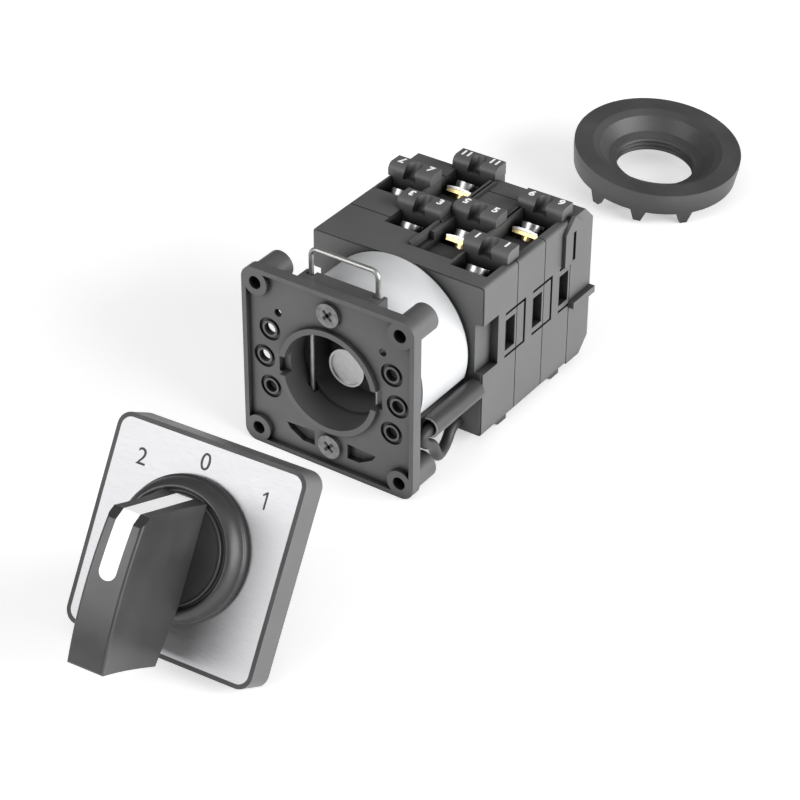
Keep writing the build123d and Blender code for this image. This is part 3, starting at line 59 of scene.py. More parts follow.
# %% Camera
IMAGE = 800
SENSOR = 36.0
TURN, TILT, ROLL = radians(33.91), radians(34.19), radians(0.49)
FOCAL_PIXELS = 2624.46
ORIGIN_IN_VIEW = (-16.45, 5.21, 539.65)
CENTRE_PIXEL = (406.94, 408.8)
NEAREST_SEEN = 0.01

forward = Vector((-sin(TURN) * cos(TILT), cos(TURN) * cos(TILT), -sin(TILT)))
level_right = Vector((cos(TURN), sin(TURN), 0))
level_up = level_right.cross(forward)
view_right = cos(ROLL) * level_right + sin(ROLL) * level_up
view_up = -sin(ROLL) * level_right + cos(ROLL) * level_up
place = -(ORIGIN_IN_VIEW[0] * view_right + ORIGIN_IN_VIEW[1] * view_up + ORIGIN_IN_VIEW[2] * forward) * MM

camera_data = bpy.data.cameras.new("studio_camera")
camera_data.sensor_width = SENSOR
camera_data.lens = FOCAL_PIXELS / IMAGE * SENSOR
camera_data.shift_x = (IMAGE / 2 - CENTRE_PIXEL[0]) / IMAGE
camera_data.shift_y = (CENTRE_PIXEL[1] - IMAGE / 2) / IMAGE
camera_data.clip_start = NEAREST_SEEN
camera = bpy.data.objects.new("studio_camera", camera_data)
axes = Matrix((view_right, view_up, -forward)).transposed()
camera.matrix_world = Matrix.Translation(place) @ axes.to_4x4()
bpy.context.collection.objects.link(camera)
bpy.context.scene.camera = camera
print("camera at", [round(v, 3) for v in place], "lens", round(camera_data.lens, 1))

# %% [markdown]
# A finish is a small graph of nodes. Most of ours need the same start: a shader, and coordinates in
# metres that stay with the object. We write that once, and small helpers add a noise, turn it into a
# range of colours, multiply two colours and roughen the surface. Each finish then reads as a recipe.

# %% Helpers for finishes
COMMON_IOR, COMMON_SPECULAR = 1.5, 0.5


def new_finish(name, metallic=0.0):
    finish = bpy.data.materials.new(name)
    finish.use_nodes = True
    nodes, links = finish.node_tree.nodes, finish.node_tree.links
    shader = nodes["Principled BSDF"]
    shader.inputs["Metallic"].default_value = metallic
    shader.inputs["IOR"].default_value = COMMON_IOR
    shader.inputs["Specular IOR Level"].default_value = COMMON_SPECULAR
    place_node = nodes.new("ShaderNodeTexCoord")
    return finish, nodes, links, shader, place_node.outputs["Object"]


def noise(nodes, links, coordinates, per_mm, detail, turned_by=None, stretched_by=None):
    texture = nodes.new("ShaderNodeTexNoise")
    texture.inputs["Scale"].default_value = per_mm / MM
    texture.inputs["Detail"].default_value = detail
    if turned_by is not None:
        mapping = nodes.new("ShaderNodeMapping")
        mapping.inputs["Rotation"].default_value = turned_by
        mapping.inputs["Scale"].default_value = stretched_by
        links.new(coordinates, mapping.inputs["Vector"])
        coordinates = mapping.outputs["Vector"]
    links.new(coordinates, texture.inputs["Vector"])
    return texture.outputs["Fac"]


def ramp(nodes, links, factor, low, high, start=0.3, end=0.7):
    blend = nodes.new("ShaderNodeValToRGB")
    first, last = blend.color_ramp.elements
    first.position, last.position = start, end
    first.color = (*low, 1) if isinstance(low, tuple) else (low, low, low, 1)
    last.color = (*high, 1) if isinstance(high, tuple) else (high, high, high, 1)
    links.new(factor, blend.inputs["Fac"])
    return blend.outputs["Color"]


def multiplied(nodes, links, colour, share):
    product = nodes.new("ShaderNodeMix")
    product.data_type, product.blend_type = "RGBA", "MULTIPLY"
    product.inputs["Factor"].default_value = 1.0
    links.new(colour, product.inputs["A"])
    links.new(share, product.inputs["B"])
    return product.outputs["Result"]


def bump(nodes, links, height, shader, depth_mm):
    node = nodes.new("ShaderNodeBump")
    node.inputs["Distance"].default_value = depth_mm * MM
    node.inputs["Strength"].default_value = 1.0
    links.new(height, node.inputs["Height"])
    links.new(node.outputs["Normal"], shader.inputs["Normal"])


def grey(level, blue=0.0):
    return (level, level, level + blue)


print("helpers for finishes ready")

# %% [markdown]
# Most of the switch is black moulded plastic. Such mouldings are never perfectly black: the skin has a
# fine grain, it is a little greyer where it has been handled, and its gloss drifts slowly over the
# surface. Two noises do that: a fine one for the grain and a broad one for the drift. Deep pockets look
# almost black, darker than the soft light of this scene leaves them. So the finishes of the housing, the
# plate and the nut also carry painted shade: the occlusion node tells how open each spot is, and the
# colour is darkened where it is sheltered.

# %% Moulded plastics
BROAD_PER_MM = 0.09
COOL = 0.001
PAINTED_SHADE_SAMPLES = 6
PAINTED_SHADE_DARKEST, PAINTED_SHADE_FULL_AT, PAINTED_SHADE_NONE_AT = 0.06, 0.42, 0.86
GLOSS_FROM, GLOSS_TO = 0.35, 0.65


# Painted shade: darkens the colour in recesses, where shade falls.
def shelter(nodes, links, colour, reach_mm):
    occlusion = nodes.new("ShaderNodeAmbientOcclusion")
    occlusion.inputs["Distance"].default_value = reach_mm * MM
    occlusion.samples = PAINTED_SHADE_SAMPLES
    painted_shade_factor = ramp(nodes, links, occlusion.outputs["AO"], PAINTED_SHADE_DARKEST, 1.0, PAINTED_SHADE_FULL_AT, PAINTED_SHADE_NONE_AT)
    return multiplied(nodes, links, colour, painted_shade_factor)


def moulded(name, dark, light, gloss, grain_mm=0.25, depth_mm=0.012, painted_shade_reach_mm=0.0):
    finish, nodes, links, shader, at = new_finish(name)
    broad = noise(nodes, links, at, BROAD_PER_MM, detail=4.0)
    fine = noise(nodes, links, at, 1 / grain_mm, detail=2.0)
    colour = ramp(nodes, links, broad, dark, light)
    if painted_shade_reach_mm:
        colour = shelter(nodes, links, colour, painted_shade_reach_mm)
    links.new(colour, shader.inputs["Base Color"])
    links.new(ramp(nodes, links, broad, *gloss, GLOSS_FROM, GLOSS_TO), shader.inputs["Roughness"])
    bump(nodes, links, fine, shader, depth_mm)
    return finish


# Housing, plate and nut carry painted shade in their recesses.
housing_black = moulded("housing_black", grey(0.104, COOL), grey(0.124, COOL), (0.46, 0.56), painted_shade_reach_mm=6.0)
plate_black = moulded("plate_black", grey(0.088, COOL), grey(0.114, COOL), (0.38, 0.50), painted_shade_reach_mm=5.0)
knob_black = moulded("knob_black", grey(0.036, COOL), grey(0.048, COOL), (0.28, 0.38), 0.2, 0.006)
frame_black = moulded("frame_black", grey(0.088, COOL), grey(0.112, COOL), (0.36, 0.46))
nut_black = moulded("nut_black", grey(0.054, COOL), grey(0.076, COOL), (0.36, 0.5), 0.5, 0.03, 12.0)
tube_black = moulded("tube_black", grey(0.046, COOL), grey(0.06, COOL), (0.28, 0.36))
wire_black = moulded("wire_black", grey(0.02, COOL), grey(0.03, COOL), (0.42, 0.5), 0.4, 0.01)
print("black finishes ready")

# %% [markdown]
# A few pieces are of other plastics: the ink of the printing, the white inlay of the marker, the pale
# cams inside and the rubber seal. They use the same recipe with other numbers. A white inlay looks paper
# white beside black, even on its shaded side, so the marker's finish gives off a little light of its
# own. The terminal numbers share that finish.

# %% Ink, marker, cams and seal
MARKER_GLOW = 0.22
# The ink's finish is also the painted shade in the screws' crosses.
ink_and_painted_shade_black = moulded("ink_and_painted_shade_black", grey(0.012), grey(0.02), (0.45, 0.55), 0.2, 0.003)
marker_white = moulded("marker_white", grey(0.86, -0.01), grey(0.92, -0.01), (0.38, 0.45), 0.3, 0.004)
glow = marker_white.node_tree.nodes["Principled BSDF"]
glow.inputs["Emission Color"].default_value = (1, 1, 1, 1)
glow.inputs["Emission Strength"].default_value = MARKER_GLOW
cam_ivory = moulded("cam_ivory", (0.50, 0.45, 0.35), (0.58, 0.53, 0.43), (0.4, 0.5))
seal_rubber = moulded("seal_rubber", grey(0.016), grey(0.024), (0.7, 0.82), 0.4, 0.02)
print("other plastics ready")

# %% [markdown]
# Metals want a metallic shader and a story of how they were made. Zinc plating is slightly mottled,
# spring wire is drawn and dull, the coupling is plain steel, the plate's two screws are darker, and
# brass has warmer and browner spots. The same recipe serves them all: one noise drives the colour, the
# gloss and a very low relief.

# %% Plated and drawn metals
def plated(name, dark, light, gloss, per_mm=0.8, depth_mm=0.01):
    finish, nodes, links, shader, at = new_finish(name, metallic=1.0)
    mottle = noise(nodes, links, at, per_mm, detail=5.0)
    links.new(ramp(nodes, links, mottle, dark, light), shader.inputs["Base Color"])
    links.new(ramp(nodes, links, mottle, *gloss), shader.inputs["Roughness"])
    bump(nodes, links, mottle, shader, depth_mm)
    return finish


zinc = plated("zinc_plated", grey(0.34), grey(0.60, -0.01), (0.26, 0.42))
spring_wire = plated("spring_wire", grey(0.40, -0.01), grey(0.52, -0.01), (0.40, 0.50), 0.5, 0.005)
coupling_steel = plated("coupling_steel", grey(0.44), grey(0.52), (0.34, 0.44))
screw_steel = plated("screw_steel", grey(0.16), grey(0.30), (0.34, 0.5))
brass = plated("terminal_brass", (0.62, 0.47, 0.20), (0.80, 0.65, 0.34), (0.24, 0.40))
print("metals ready")

# %% [markdown]
# The legend plate is brushed metal. Brushing leaves fine hair lines that run across the plate. A
# picture could show them, but a noise does it without one, if it is pulled out along the brushing. The
# plate leans back with the front unit, which rests on its frame's lower edge and on the end of its
# bush, so the noise is turned by that lean and by the unit's small turn on the floor.

# %% Legend metal
FRAME_HALF, FRAME_DEPTH = 42.5 / 2, 6.5
BUSH_RADIUS, BUSH_LENGTH = 9.8, 18.5
FACE_LEAN = atan2(FRAME_HALF - BUSH_RADIUS, BUSH_LENGTH)
FACE_TURN = radians(3.4)
HAIRS_PER_MM = 7.0
HAIR_STRETCH = (0.012, 1.0, 1.0)

legend_metal, nodes, links, shader, at = new_finish("legend_brushed", metallic=0.85)
hair = noise(nodes, links, at, HAIRS_PER_MM, 5.0, (FACE_LEAN, 0, -FACE_TURN), HAIR_STRETCH)
links.new(ramp(nodes, links, hair, grey(0.33, 0.01), grey(0.40, 0.01)), shader.inputs["Base Color"])
links.new(ramp(nodes, links, hair, 0.36, 0.46), shader.inputs["Roughness"])
bump(nodes, links, hair, shader, 0.004)
print("brushed metal leans", round(FACE_LEAN, 3))

# %% [markdown]
# The rating label is thin coated paper. It is left bare, so its finish has to carry it: a faint fibre
# pattern, a soft sheen that changes slowly, and a tone that is a little cooler than the marker's white.

# %% Label paper
# The same finish also paints the highlight on the tube's rim.
label_paper, nodes, links, shader, at = new_finish("label_paper")
fibres = noise(nodes, links, at, per_mm=2.0, detail=6.0)
tone = noise(nodes, links, at, per_mm=0.08, detail=3.0)
links.new(ramp(nodes, links, tone, (0.58, 0.59, 0.60), (0.66, 0.67, 0.68)), shader.inputs["Base Color"])
links.new(ramp(nodes, links, fibres, 0.32, 0.45), shader.inputs["Roughness"])
bump(nodes, links, fibres, shader, 0.01)
print("label paper ready")

# %% [markdown]
# Now each solid gets its finish. The solids stay untouched: only the material slot changes. Pieces that
# repeat, such as the cams or the contacts, are found by the start of their name.

# %% Give the solids their finishes
FINISHES = {
    "mounting_plate": plate_black, "index_housing": housing_black, "stage_": housing_black,
    "end_cover": housing_black, "face_frame": frame_black, "front_bush": frame_black,
    "drive_spindle": frame_black, "ring_nut": nut_black, "index_wheel": cam_ivory, "cam_shaft": zinc,
    "cam_": cam_ivory, "plunger_": cam_ivory, "knob_collar": knob_black, "handle_marker": marker_white,
    "handle": knob_black, "rating_label": label_paper, "legend_plate": legend_metal,
    "panel_seal": seal_rubber, "index_springs": spring_wire, "locking_bail": spring_wire,
    "contact_spring_": spring_wire, "contact_bridge_": brass, "fixed_contacts_": brass,
    "plate_screws": screw_steel, "terminal_screws": zinc, "clamp_washers": zinc, "tie_screws": zinc,
    "shaft_coupling": coupling_steel, "spacer_tube": tube_black, "link_wire": wire_black,
}


def finish_for(node_name):
    matches = [start for start in FINISHES if node_name.startswith(start)]
    return FINISHES[max(matches, key=len)]


for node_name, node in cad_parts.items():
    chosen = finish_for(node_name)
    if not node.material_slots:
        node.data.materials.append(chosen)
    for material_slot in node.material_slots:
        material_slot.material = chosen
print("finished nodes", len(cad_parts))

# %% [markdown]
# A moulded edge is never knife sharp, and a camera sees that small radius as a bright line. Rounding
# the solid's own edges would change the part, so a bevel modifier adds the radius at render time
# instead. It is widest on the nut and the frame, and finest on the marker and the small screws.

# %% Soft edges
EDGE_WIDTHS = {
    "mounting_plate": 0.16, "stage_1_housing": 0.14, "stage_2_housing": 0.14, "stage_3_housing": 0.14,
    "end_cover": 0.16, "index_housing": 0.2, "face_frame": 0.25, "ring_nut": 0.3,
    "terminal_screws": 0.08, "clamp_washers": 0.08, "plate_screws": 0.1, "handle": 0.2,
    "handle_marker": 0.06,
}
SHARP_FROM = radians(35)
for node_name, width in EDGE_WIDTHS.items():
    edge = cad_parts[node_name].modifiers.new("moulded_edge", "BEVEL")
    edge.width = width * MM
    edge.segments = 2
    edge.limit_method = "ANGLE"
    edge.angle_limit = SHARP_FROM
print("edges softened on", len(EDGE_WIDTHS), "solids")

# %% [markdown]
# Several small pieces below are plain blocks or turned forms. Whatever its shape, a piece has to be
# linked to the scene, given its material slot and hung on the body that it moves with. A piece that
# misses one of these isn't seen, has no slot or stays behind at a pose, so one helper does all three.

# %% Helpers for hanging pieces
def hang(piece, body="housing"):
    bpy.context.collection.objects.link(piece)
    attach(piece, body)
    return piece


def add_piece(name, mesh, finish, body="housing", smooth=False):
    bmesh.ops.recalc_face_normals(mesh, faces=mesh.faces)
    data = bpy.data.meshes.new(name)
    mesh.to_mesh(data)
    mesh.free()
    data.materials.append(finish)
    if smooth:
        data.shade_smooth()
    return hang(bpy.data.objects.new(name, data), body)


print("helpers for pieces ready")

# %% [markdown]
# The walls, webs and crosses of the next cells are all bars: an outline pushed along one axis. A cube
# could be stretched for most of them, but an outline also gives the sloping foot and the leaning arms of
# a cross. The edges can be rounded a little.

# %% Helper for bars
ALONG_X, ALONG_Y = 0, 1


def rectangle(low_a, high_a, low_b, high_b):
    return ((low_a, low_b), (high_a, low_b), (high_a, high_b), (low_a, high_b))


def bar(name, outline, span, finish, axis=ALONG_X, round_mm=0.0):
    mesh = bmesh.new()
    ends = []
    for depth in span:
        corners = []
        for first, second in outline:
            point = [first, second]
            point.insert(axis, depth)
            corners.append(mesh.verts.new(Vector(point) * MM))
        ends.append(corners)
    near_end, far_end = ends
    mesh.faces.new(near_end)
    mesh.faces.new(list(reversed(far_end)))
    for here in range(len(outline)):
        after = (here + 1) % len(outline)
        mesh.faces.new((near_end[here], near_end[after], far_end[after], far_end[here]))
    if round_mm:
        bmesh.ops.bevel(mesh, geom=mesh.edges[:], offset=round_mm * MM, segments=2, affect="EDGES")
    add_piece(name, mesh, finish)


print("helper for bars ready")

# %% [markdown]
# The roof of the contact block carries thin walls between the terminal columns. They are ribs of the
# same moulding, so plain bars in the housing's own finish do. Each row of the table gives a wall's
# depth, its height, its thickness across and the rounding of its edges. The last number bar also stands
# on a foot whose underside slopes down to the rear.

# %% Walls and foot on the roof
WALL_TOP, SIDE_WALL_TOP = 18.2, 18.1
DIVIDERS = {
    "divider_front": ((31.4, 42.7), (15.9, WALL_TOP), (-1.35, -0.65), 0.1),
    "divider_middle": ((42.7, 51.2), (15.9, WALL_TOP), (-0.68, -0.42), 0.04),
    "divider_rear": ((51.2, 63.6), (14.5, WALL_TOP), (-1.55, -0.85), 0.1),
    "divider_rear_twin": ((51.2, 63.6), (17.5, WALL_TOP), (-0.45, 0.15), 0.1),
    "divider_right": ((41.4, 58.6), (14.5, SIDE_WALL_TOP), (10.45, 10.95), 0.1),
    "divider_right_twin": ((51.4, 60.0), (17.5, SIDE_WALL_TOP), (9.4, 9.95), 0.1),
    "divider_left": ((47.3, 58.0), (14.5, SIDE_WALL_TOP), (-10.95, -10.5), 0.1),
}
for name, (depth, height, thickness, round_mm) in DIVIDERS.items():
    bar(name, rectangle(*depth, *height), thickness, housing_black, ALONG_X, round_mm)

FOOT_OUTLINE = ((65.5, 17.65), (68.7, 17.65), (68.7, 14.4), (65.5, 17.4))
FOOT_SPAN = (-11.8, -0.8)
bar("last_bar_foot", FOOT_OUTLINE, FOOT_SPAN, housing_black)
print("walls", len(DIVIDERS), "and one foot")

# %% [markdown]
# The two openings low in the mounting plate look dark in the photograph, and so do four of its six
# wells. It could be shadow, and nothing shows what closes them. A thin dark web at the plate's back is
# the simplest guess, and it gives the same dark look.

# %% Webs behind the plate
WEB_SPAN = (2.64, 3.0)
WEBS = {
    "window_web_left": rectangle(-12.6, -3.6, -18.6, -13.4),
    "window_web_right": rectangle(3.6, 12.6, -18.6, -13.4),
    "well_web_left": rectangle(-17.4, -13.2, -9.2, -5.0),
    "well_web_right": rectangle(13.0, 19.2, -9.6, 9.6),
}
for name, outline in WEBS.items():
    bar(name, outline, WEB_SPAN, tube_black, ALONG_Y)
print("webs", len(WEBS))

# %% [markdown]
# Each of the plate's two screws has a cross in its head. The solid has that recess too, but soft light
# fills it, so two thin dark bars, flush with the head, paint the shade that lies in it. How far forward
# the head stands is measured from the solid, so that the bars follow it if the part changes.

# %% Painted shade in the crosses of the plate's screws
SQUARE = ((-1, -1), (1, -1), (1, 1), (-1, 1))
CROSS_REACH, CROSS_HALF_WIDTH, CROSS_THICKNESS = 1.0, 0.27, 0.06
SCREW_OFFSET = 16.2
SCREW_Z = {"upper": SCREW_OFFSET, "lower": -SCREW_OFFSET}
CROSS_CORNERS = [(a * CROSS_REACH, b * CROSS_HALF_WIDTH) for a, b in SQUARE]
plate_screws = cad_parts["plate_screws"]
head_front = min((plate_screws.matrix_world @ Vector(corner)).y for corner in plate_screws.bound_box) / MM
# The two dark bars of each cross are painted shade.
for place_name, screw_z in SCREW_Z.items():
    for arm_name, lean in (("a", 1), ("b", -1)):
        arm = [(lean * a - b, screw_z + a + lean * b) for a, b in CROSS_CORNERS]
        span = (head_front, head_front + CROSS_THICKNESS)
        bar(f"{place_name}_cross_painted_shade_{arm_name}", arm, span, ink_and_painted_shade_black, ALONG_Y)
print("crosses", len(SCREW_Z), "at depth", round(head_front, 2))

# %% [markdown]
# The printing is set with Blender's own letterforms. A text object is turned into a mesh, stood on a
# plane given by its centre, its reading direction and its up direction, and made a few hundredths of a
# millimetre thick, so that it lies on the surface like ink.

# %% Helper for printing
CAPITAL_SHARE = 0.72
INK_THICKNESS = 0.02


def printed(text, name, centre, across, up, height_mm, finish, weight_mm=0.0):
    letters = bpy.data.curves.new(name, "FONT")
    letters.body = text
    letters.align_x, letters.align_y = "CENTER", "CENTER"
    letters.size = height_mm / CAPITAL_SHARE * MM
    letters.extrude = INK_THICKNESS * MM
    letters.offset = weight_mm * MM
    writer = bpy.data.objects.new(name + "_letters", letters)
    bpy.context.collection.objects.link(writer)
    bpy.context.view_layer.update()
    mesh = bpy.data.meshes.new_from_object(writer.evaluated_get(bpy.context.evaluated_depsgraph_get()))
    bpy.data.objects.remove(writer)
    turn = Matrix((across, up, across.cross(up))).transposed().to_4x4()
    mesh.transform(Matrix.Translation(centre) @ turn)
    mesh.materials.clear()
    mesh.materials.append(finish)
    hang(bpy.data.objects.new(name, mesh))


print("helper for printing ready")

# %% [markdown]
# The front unit leans back on its bush, so its numerals are placed in the legend plate's own plane.
# Three directions describe that plane: right, up the face, and out of it. They come from the lean and
# the turn that the legend's brushing already uses, and the height follows from the floor.

# %% Numerals for the positions
FLOOR_Z = -21.5
FACE_X, FACE_Y = 10.6, -60.9
NUMERAL_HEIGHT = 3.45
NUMERALS = {"2": (-14.1, 13.6), "0": (-0.5, 16.8)}

face_out = Vector((cos(FACE_LEAN) * sin(FACE_TURN), -cos(FACE_LEAN) * cos(FACE_TURN), sin(FACE_LEAN)))
face_right = Vector((cos(FACE_TURN), sin(FACE_TURN), 0))
face_up = face_out.cross(face_right)
face_height = FLOOR_Z + FRAME_HALF * cos(FACE_LEAN) + FRAME_DEPTH * sin(FACE_LEAN)
face_centre = Vector((FACE_X, FACE_Y, face_height)) * MM


def on_face(x, y, lift):
    return face_centre + (x * face_right + y * face_up + lift * face_out) * MM


for numeral, (x, y) in NUMERALS.items():
    spot = on_face(x, y, INK_THICKNESS)
    printed(numeral, f"numeral_{numeral}", spot, face_right, face_up, NUMERAL_HEIGHT, ink_and_painted_shade_black)
print("printed numerals", len(NUMERALS))

# %% [markdown]
# In this letterform a one is a bare bar, so this one is drawn: a stem with a flag at its top. The
# outline is a flat face first, and extruding it gives it the thickness of ink.

# %% Numeral one
ONE = ((0.12, -1.7), (0.50, -1.7), (0.50, 1.7), (0.18, 1.7), (-0.54, 1.06), (-0.54, 0.68), (0.12, 1.13))
ONE_PLACE = (13.6, 13.9)
ONE_THICKNESS = 0.03
one_spot = on_face(*ONE_PLACE, ONE_THICKNESS)
one_mesh = bmesh.new()
one_mesh.faces.new([one_mesh.verts.new(one_spot + (x * face_right + y * face_up) * MM) for x, y in ONE])
for part in bmesh.ops.extrude_face_region(one_mesh, geom=one_mesh.faces[:])["geom"]:
    if isinstance(part, bmesh.types.BMVert):
        part.co -= face_out * ONE_THICKNESS * MM
add_piece("numeral_1", one_mesh, ink_and_painted_shade_black)
print("corners of the one", len(ONE))

# %% [markdown]
# The square frame shows a dark front border and paler flanks. The dark front is painted shade. A second
# finish on its front faces would do, but the solids stay untouched here. Instead the shader compares
# each surface's normal with the way the unit faces: where the two agree, the colour is multiplied down.

# %% Painted shade on the frame's front
PAINTED_FRONT_SHADE_DARKEST, FLANK, FRONT = 0.12, 0.80, 0.97
nodes, links = frame_black.node_tree.nodes, frame_black.node_tree.links
base_colour = nodes["Principled BSDF"].inputs["Base Color"]
geometry = nodes.new("ShaderNodeNewGeometry")
facing = nodes.new("ShaderNodeVectorMath")
facing.operation = "DOT_PRODUCT"
facing.inputs[1].default_value = face_out
links.new(geometry.outputs["Normal"], facing.inputs[0])
# Painted shade: surfaces that face out the front are darkened.
painted_front_shade = ramp(nodes, links, facing.outputs["Value"], 1.0, PAINTED_FRONT_SHADE_DARKEST, FLANK, FRONT)
links.new(multiplied(nodes, links, base_colour.links[0].from_socket, painted_front_shade), base_colour)
print("border finish on the frame")

# %% [markdown]
# Some pieces are round about an axis, as if they came off a lathe. Blender can spin a mesh or turn it
# with a modifier. Here an outline of radius and height is set out at even steps round the axis, because
# the axis leans and because the same spokes will serve the threads later.

# %% Helper for turned forms
TURNING_STEPS = 96


def circle_spokes(axis, steps):
    side = axis.orthogonal().normalized()
    other = axis.cross(side)
    angles = [2 * pi * step / steps for step in range(steps)]
    return [side * cos(angle) + other * sin(angle) for angle in angles]


def turned(name, centre, axis, profile, finish, body):
    mesh = bmesh.new()
    rows = []
    for spoke in circle_spokes(axis, TURNING_STEPS):
        rows.append([mesh.verts.new(centre + (spoke * r + axis * h) * MM) for r, h in profile])
    for here, there in zip(rows, rows[1:] + rows[:1]):
        for low in range(len(profile) - 1):
            mesh.faces.new((here[low], there[low], there[low + 1], here[low + 1]))
    mesh.faces.new([row[0] for row in rows])
    mesh.faces.new([row[-1] for row in rows])
    return add_piece(name, mesh, finish, body, smooth=True)


print("helper for turned forms ready")

# %% [markdown]
# The knob's skirt is a soft turned form: a round shoulder that catches one long highlight, a narrow
# groove, and a flat disc with a fine raised border. The solid has a plain cone and a square groove
# there. The finer form rides on the knob and replaces that solid in the picture.

# %% Knob skirt
SKIRT_BASE = ((0.05, 0.3), (14.2, 0.3), (14.2, 1.25), (14.0, 1.6), (13.75, 1.75), (13.72, 2.0))
SKIRT_SHOULDER = ((13.7, 2.5), (13.5, 3.2), (13.15, 3.9), (12.7, 4.5), (12.25, 4.85), (11.85, 4.98))
SKIRT_GROOVE = ((11.6, 4.9), (11.45, 4.6), (11.3, 4.15), (10.85, 4.15), (10.8, 4.6))
SKIRT_DISC = ((10.75, 5.0), (10.6, 5.1), (10.4, 5.08), (10.3, 4.98), (10.0, 4.96), (0.05, 4.96))
skirt = SKIRT_BASE + SKIRT_SHOULDER + SKIRT_GROOVE + SKIRT_DISC
knob_skirt = turned("knob_skirt", face_centre, face_out, skirt, knob_black, "knob")
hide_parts("knob_collar")
print("skirt profile points", len(skirt))

# %% [markdown]
# Each terminal carries its number at both ends of the bar behind it. The mouldings have these filled
# in white. The odd numbers are on top and the even ones below, and the left number of each pair is
# turned round, so that it can be read from either side. The levels follow each other at the stages'
# pitch, with each left level behind its right one, so two loops reach all the places.

# %% Terminal numbers
CAP_TOP = 20.5
FIRST_LEVEL, STAGE_PITCH, LEFT_LEVEL_BEHIND = 33.3, 10.8, 6.9
COLUMN_X = (15.0, -6.3, 5.2, -16.1, 15.0, -6.3)
NUMBER_FROM_MIDDLE = 3.6
TOP_NUMBER = {"behind": 5.5, "height": 2.0, "weight": 0.09}
FOOT_NUMBER = {"behind": 2.1, "height": 1.7, "weight": 0.07}


def terminal_number(number, side, column, depth, z, reading, form):
    spot = Vector((column + side * NUMBER_FROM_MIDDLE, depth + form["behind"], z + INK_THICKNESS)) * MM
    side_name = "left" if side < 0 else "right"
    upward = Vector((0, side, 0))
    printed(str(number), f"terminal_{number}_{side_name}", spot, reading, upward, form["height"],
            marker_white, form["weight"])


for level, column in enumerate(COLUMN_X):
    depth = FIRST_LEVEL + level // 2 * STAGE_PITCH + level % 2 * LEFT_LEVEL_BEHIND
    number = 2 * level + 1
    for side in (-1, 1):
        reading = Vector((side, 0, 0))
        terminal_number(number, side, column, depth, CAP_TOP, reading, TOP_NUMBER)
        terminal_number(number + 1, side, column, depth, FLOOR_Z, -reading, FOOT_NUMBER)
print("terminal numbers", 4 * len(COLUMN_X))

# %% [markdown]
# A short insulated wire comes out of the tube's front end and turns back under the block. The solid has
# it as straight runs with round corners, which is fine for measuring. A real wire bends evenly, so the
# same route becomes the control line of a smooth curve, with the wire's own thickness.

# %% Link wire
WIRE_ROUTE = (
    (20.0, 25.4, -7.6), (20.0, 5.5, -7.6), (19.7, 5.7, -10.5), (18.8, 11.6, -14.2),
    (17.8, 14.475, -20.15), (16.4, 20.15, -20.15), (15.8, 23.15, -17.3), (15.8, 25.4, -17.3),
)
WIRE_RADIUS = 1.25
wire_line = bpy.data.curves.new("bent_wire", "CURVE")
wire_line.dimensions = "3D"
wire_run = wire_line.splines.new("NURBS")
wire_run.points.add(len(WIRE_ROUTE) - 1)
for point, (x, y, z) in zip(wire_run.points, WIRE_ROUTE):
    point.co = (x * MM, y * MM, z * MM, 1)
wire_run.order_u = 3
wire_run.use_endpoint_u = True
wire_run.resolution_u = 12
wire_line.bevel_depth = WIRE_RADIUS * MM
wire_line.bevel_resolution = 6
wire_line.use_fill_caps = True
wire_line.materials.append(wire_black)
wire = hang(bpy.data.objects.new("bent_wire", wire_line))
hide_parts("link_wire")
print("wire points", len(WIRE_ROUTE))

# %% [markdown]
# The tube was cut to length with a blade, and its end face shows a pale rim on the side that catches the
# light. A flat pale band that follows that lit part of the end face paints the highlight, with its width
# fading at both ends.

# %% Painted highlight on the tube's rim
TUBE_CENTRE, TUBE_RIM = (20.0, 8.0, -7.6), 2.32
RIM_WIDTH, RIM_THICKNESS, RIM_STEPS = 0.42, 0.03, 28
RIM_START, RIM_SWEEP = 118, 190
RIM_END_SHARE = 0.08
RIM_SECTION = ((-1, -RIM_THICKNESS), (1, -RIM_THICKNESS), (1, 0.0), (-1, 0.0))
rim_mesh = bmesh.new()
rim_rows = []
for step in range(RIM_STEPS + 1):
    share = step / RIM_STEPS
    angle = radians(RIM_START - RIM_SWEEP * share)
    fade = RIM_END_SHARE + (1 - 2 * RIM_END_SHARE) * share
    half_width = RIM_WIDTH / 2 * sin(pi * fade) ** 0.5
    row = []
    for reach, lift in RIM_SECTION:
        radius = TUBE_RIM - RIM_WIDTH / 2 + reach * half_width
        offset = Vector((radius * cos(angle), lift, radius * sin(angle)))
        row.append(rim_mesh.verts.new((Vector(TUBE_CENTRE) + offset) * MM))
    rim_rows.append(row)
for here, there in zip(rim_rows, rim_rows[1:]):
    for corner in range(len(RIM_SECTION)):
        after = (corner + 1) % len(RIM_SECTION)
        rim_mesh.faces.new((here[corner], here[after], there[after], there[corner]))
rim_mesh.faces.new(rim_rows[0])
rim_mesh.faces.new(list(reversed(rim_rows[-1])))
# The band is a painted highlight, in the pale paper finish.
add_piece("tube_rim_painted_highlight", rim_mesh, label_paper)
print("rim rows", len(rim_rows))

# %% [markdown]
# A thread seen from this distance is a stack of fine ridges. A true helix could be wound instead, but
# it would show no more, so one triangular ridge is turned round the axis and repeated at the pitch. A
# ridge of negative height points inwards, for the nut. The nut rests on its teeth and leans a little,
# so the height of its top follows from its own sizes and that lean.

# %% Threads of bush and nut
RIDGE_STEPS = 72
RIDGE_HALF_SHARE = 0.4


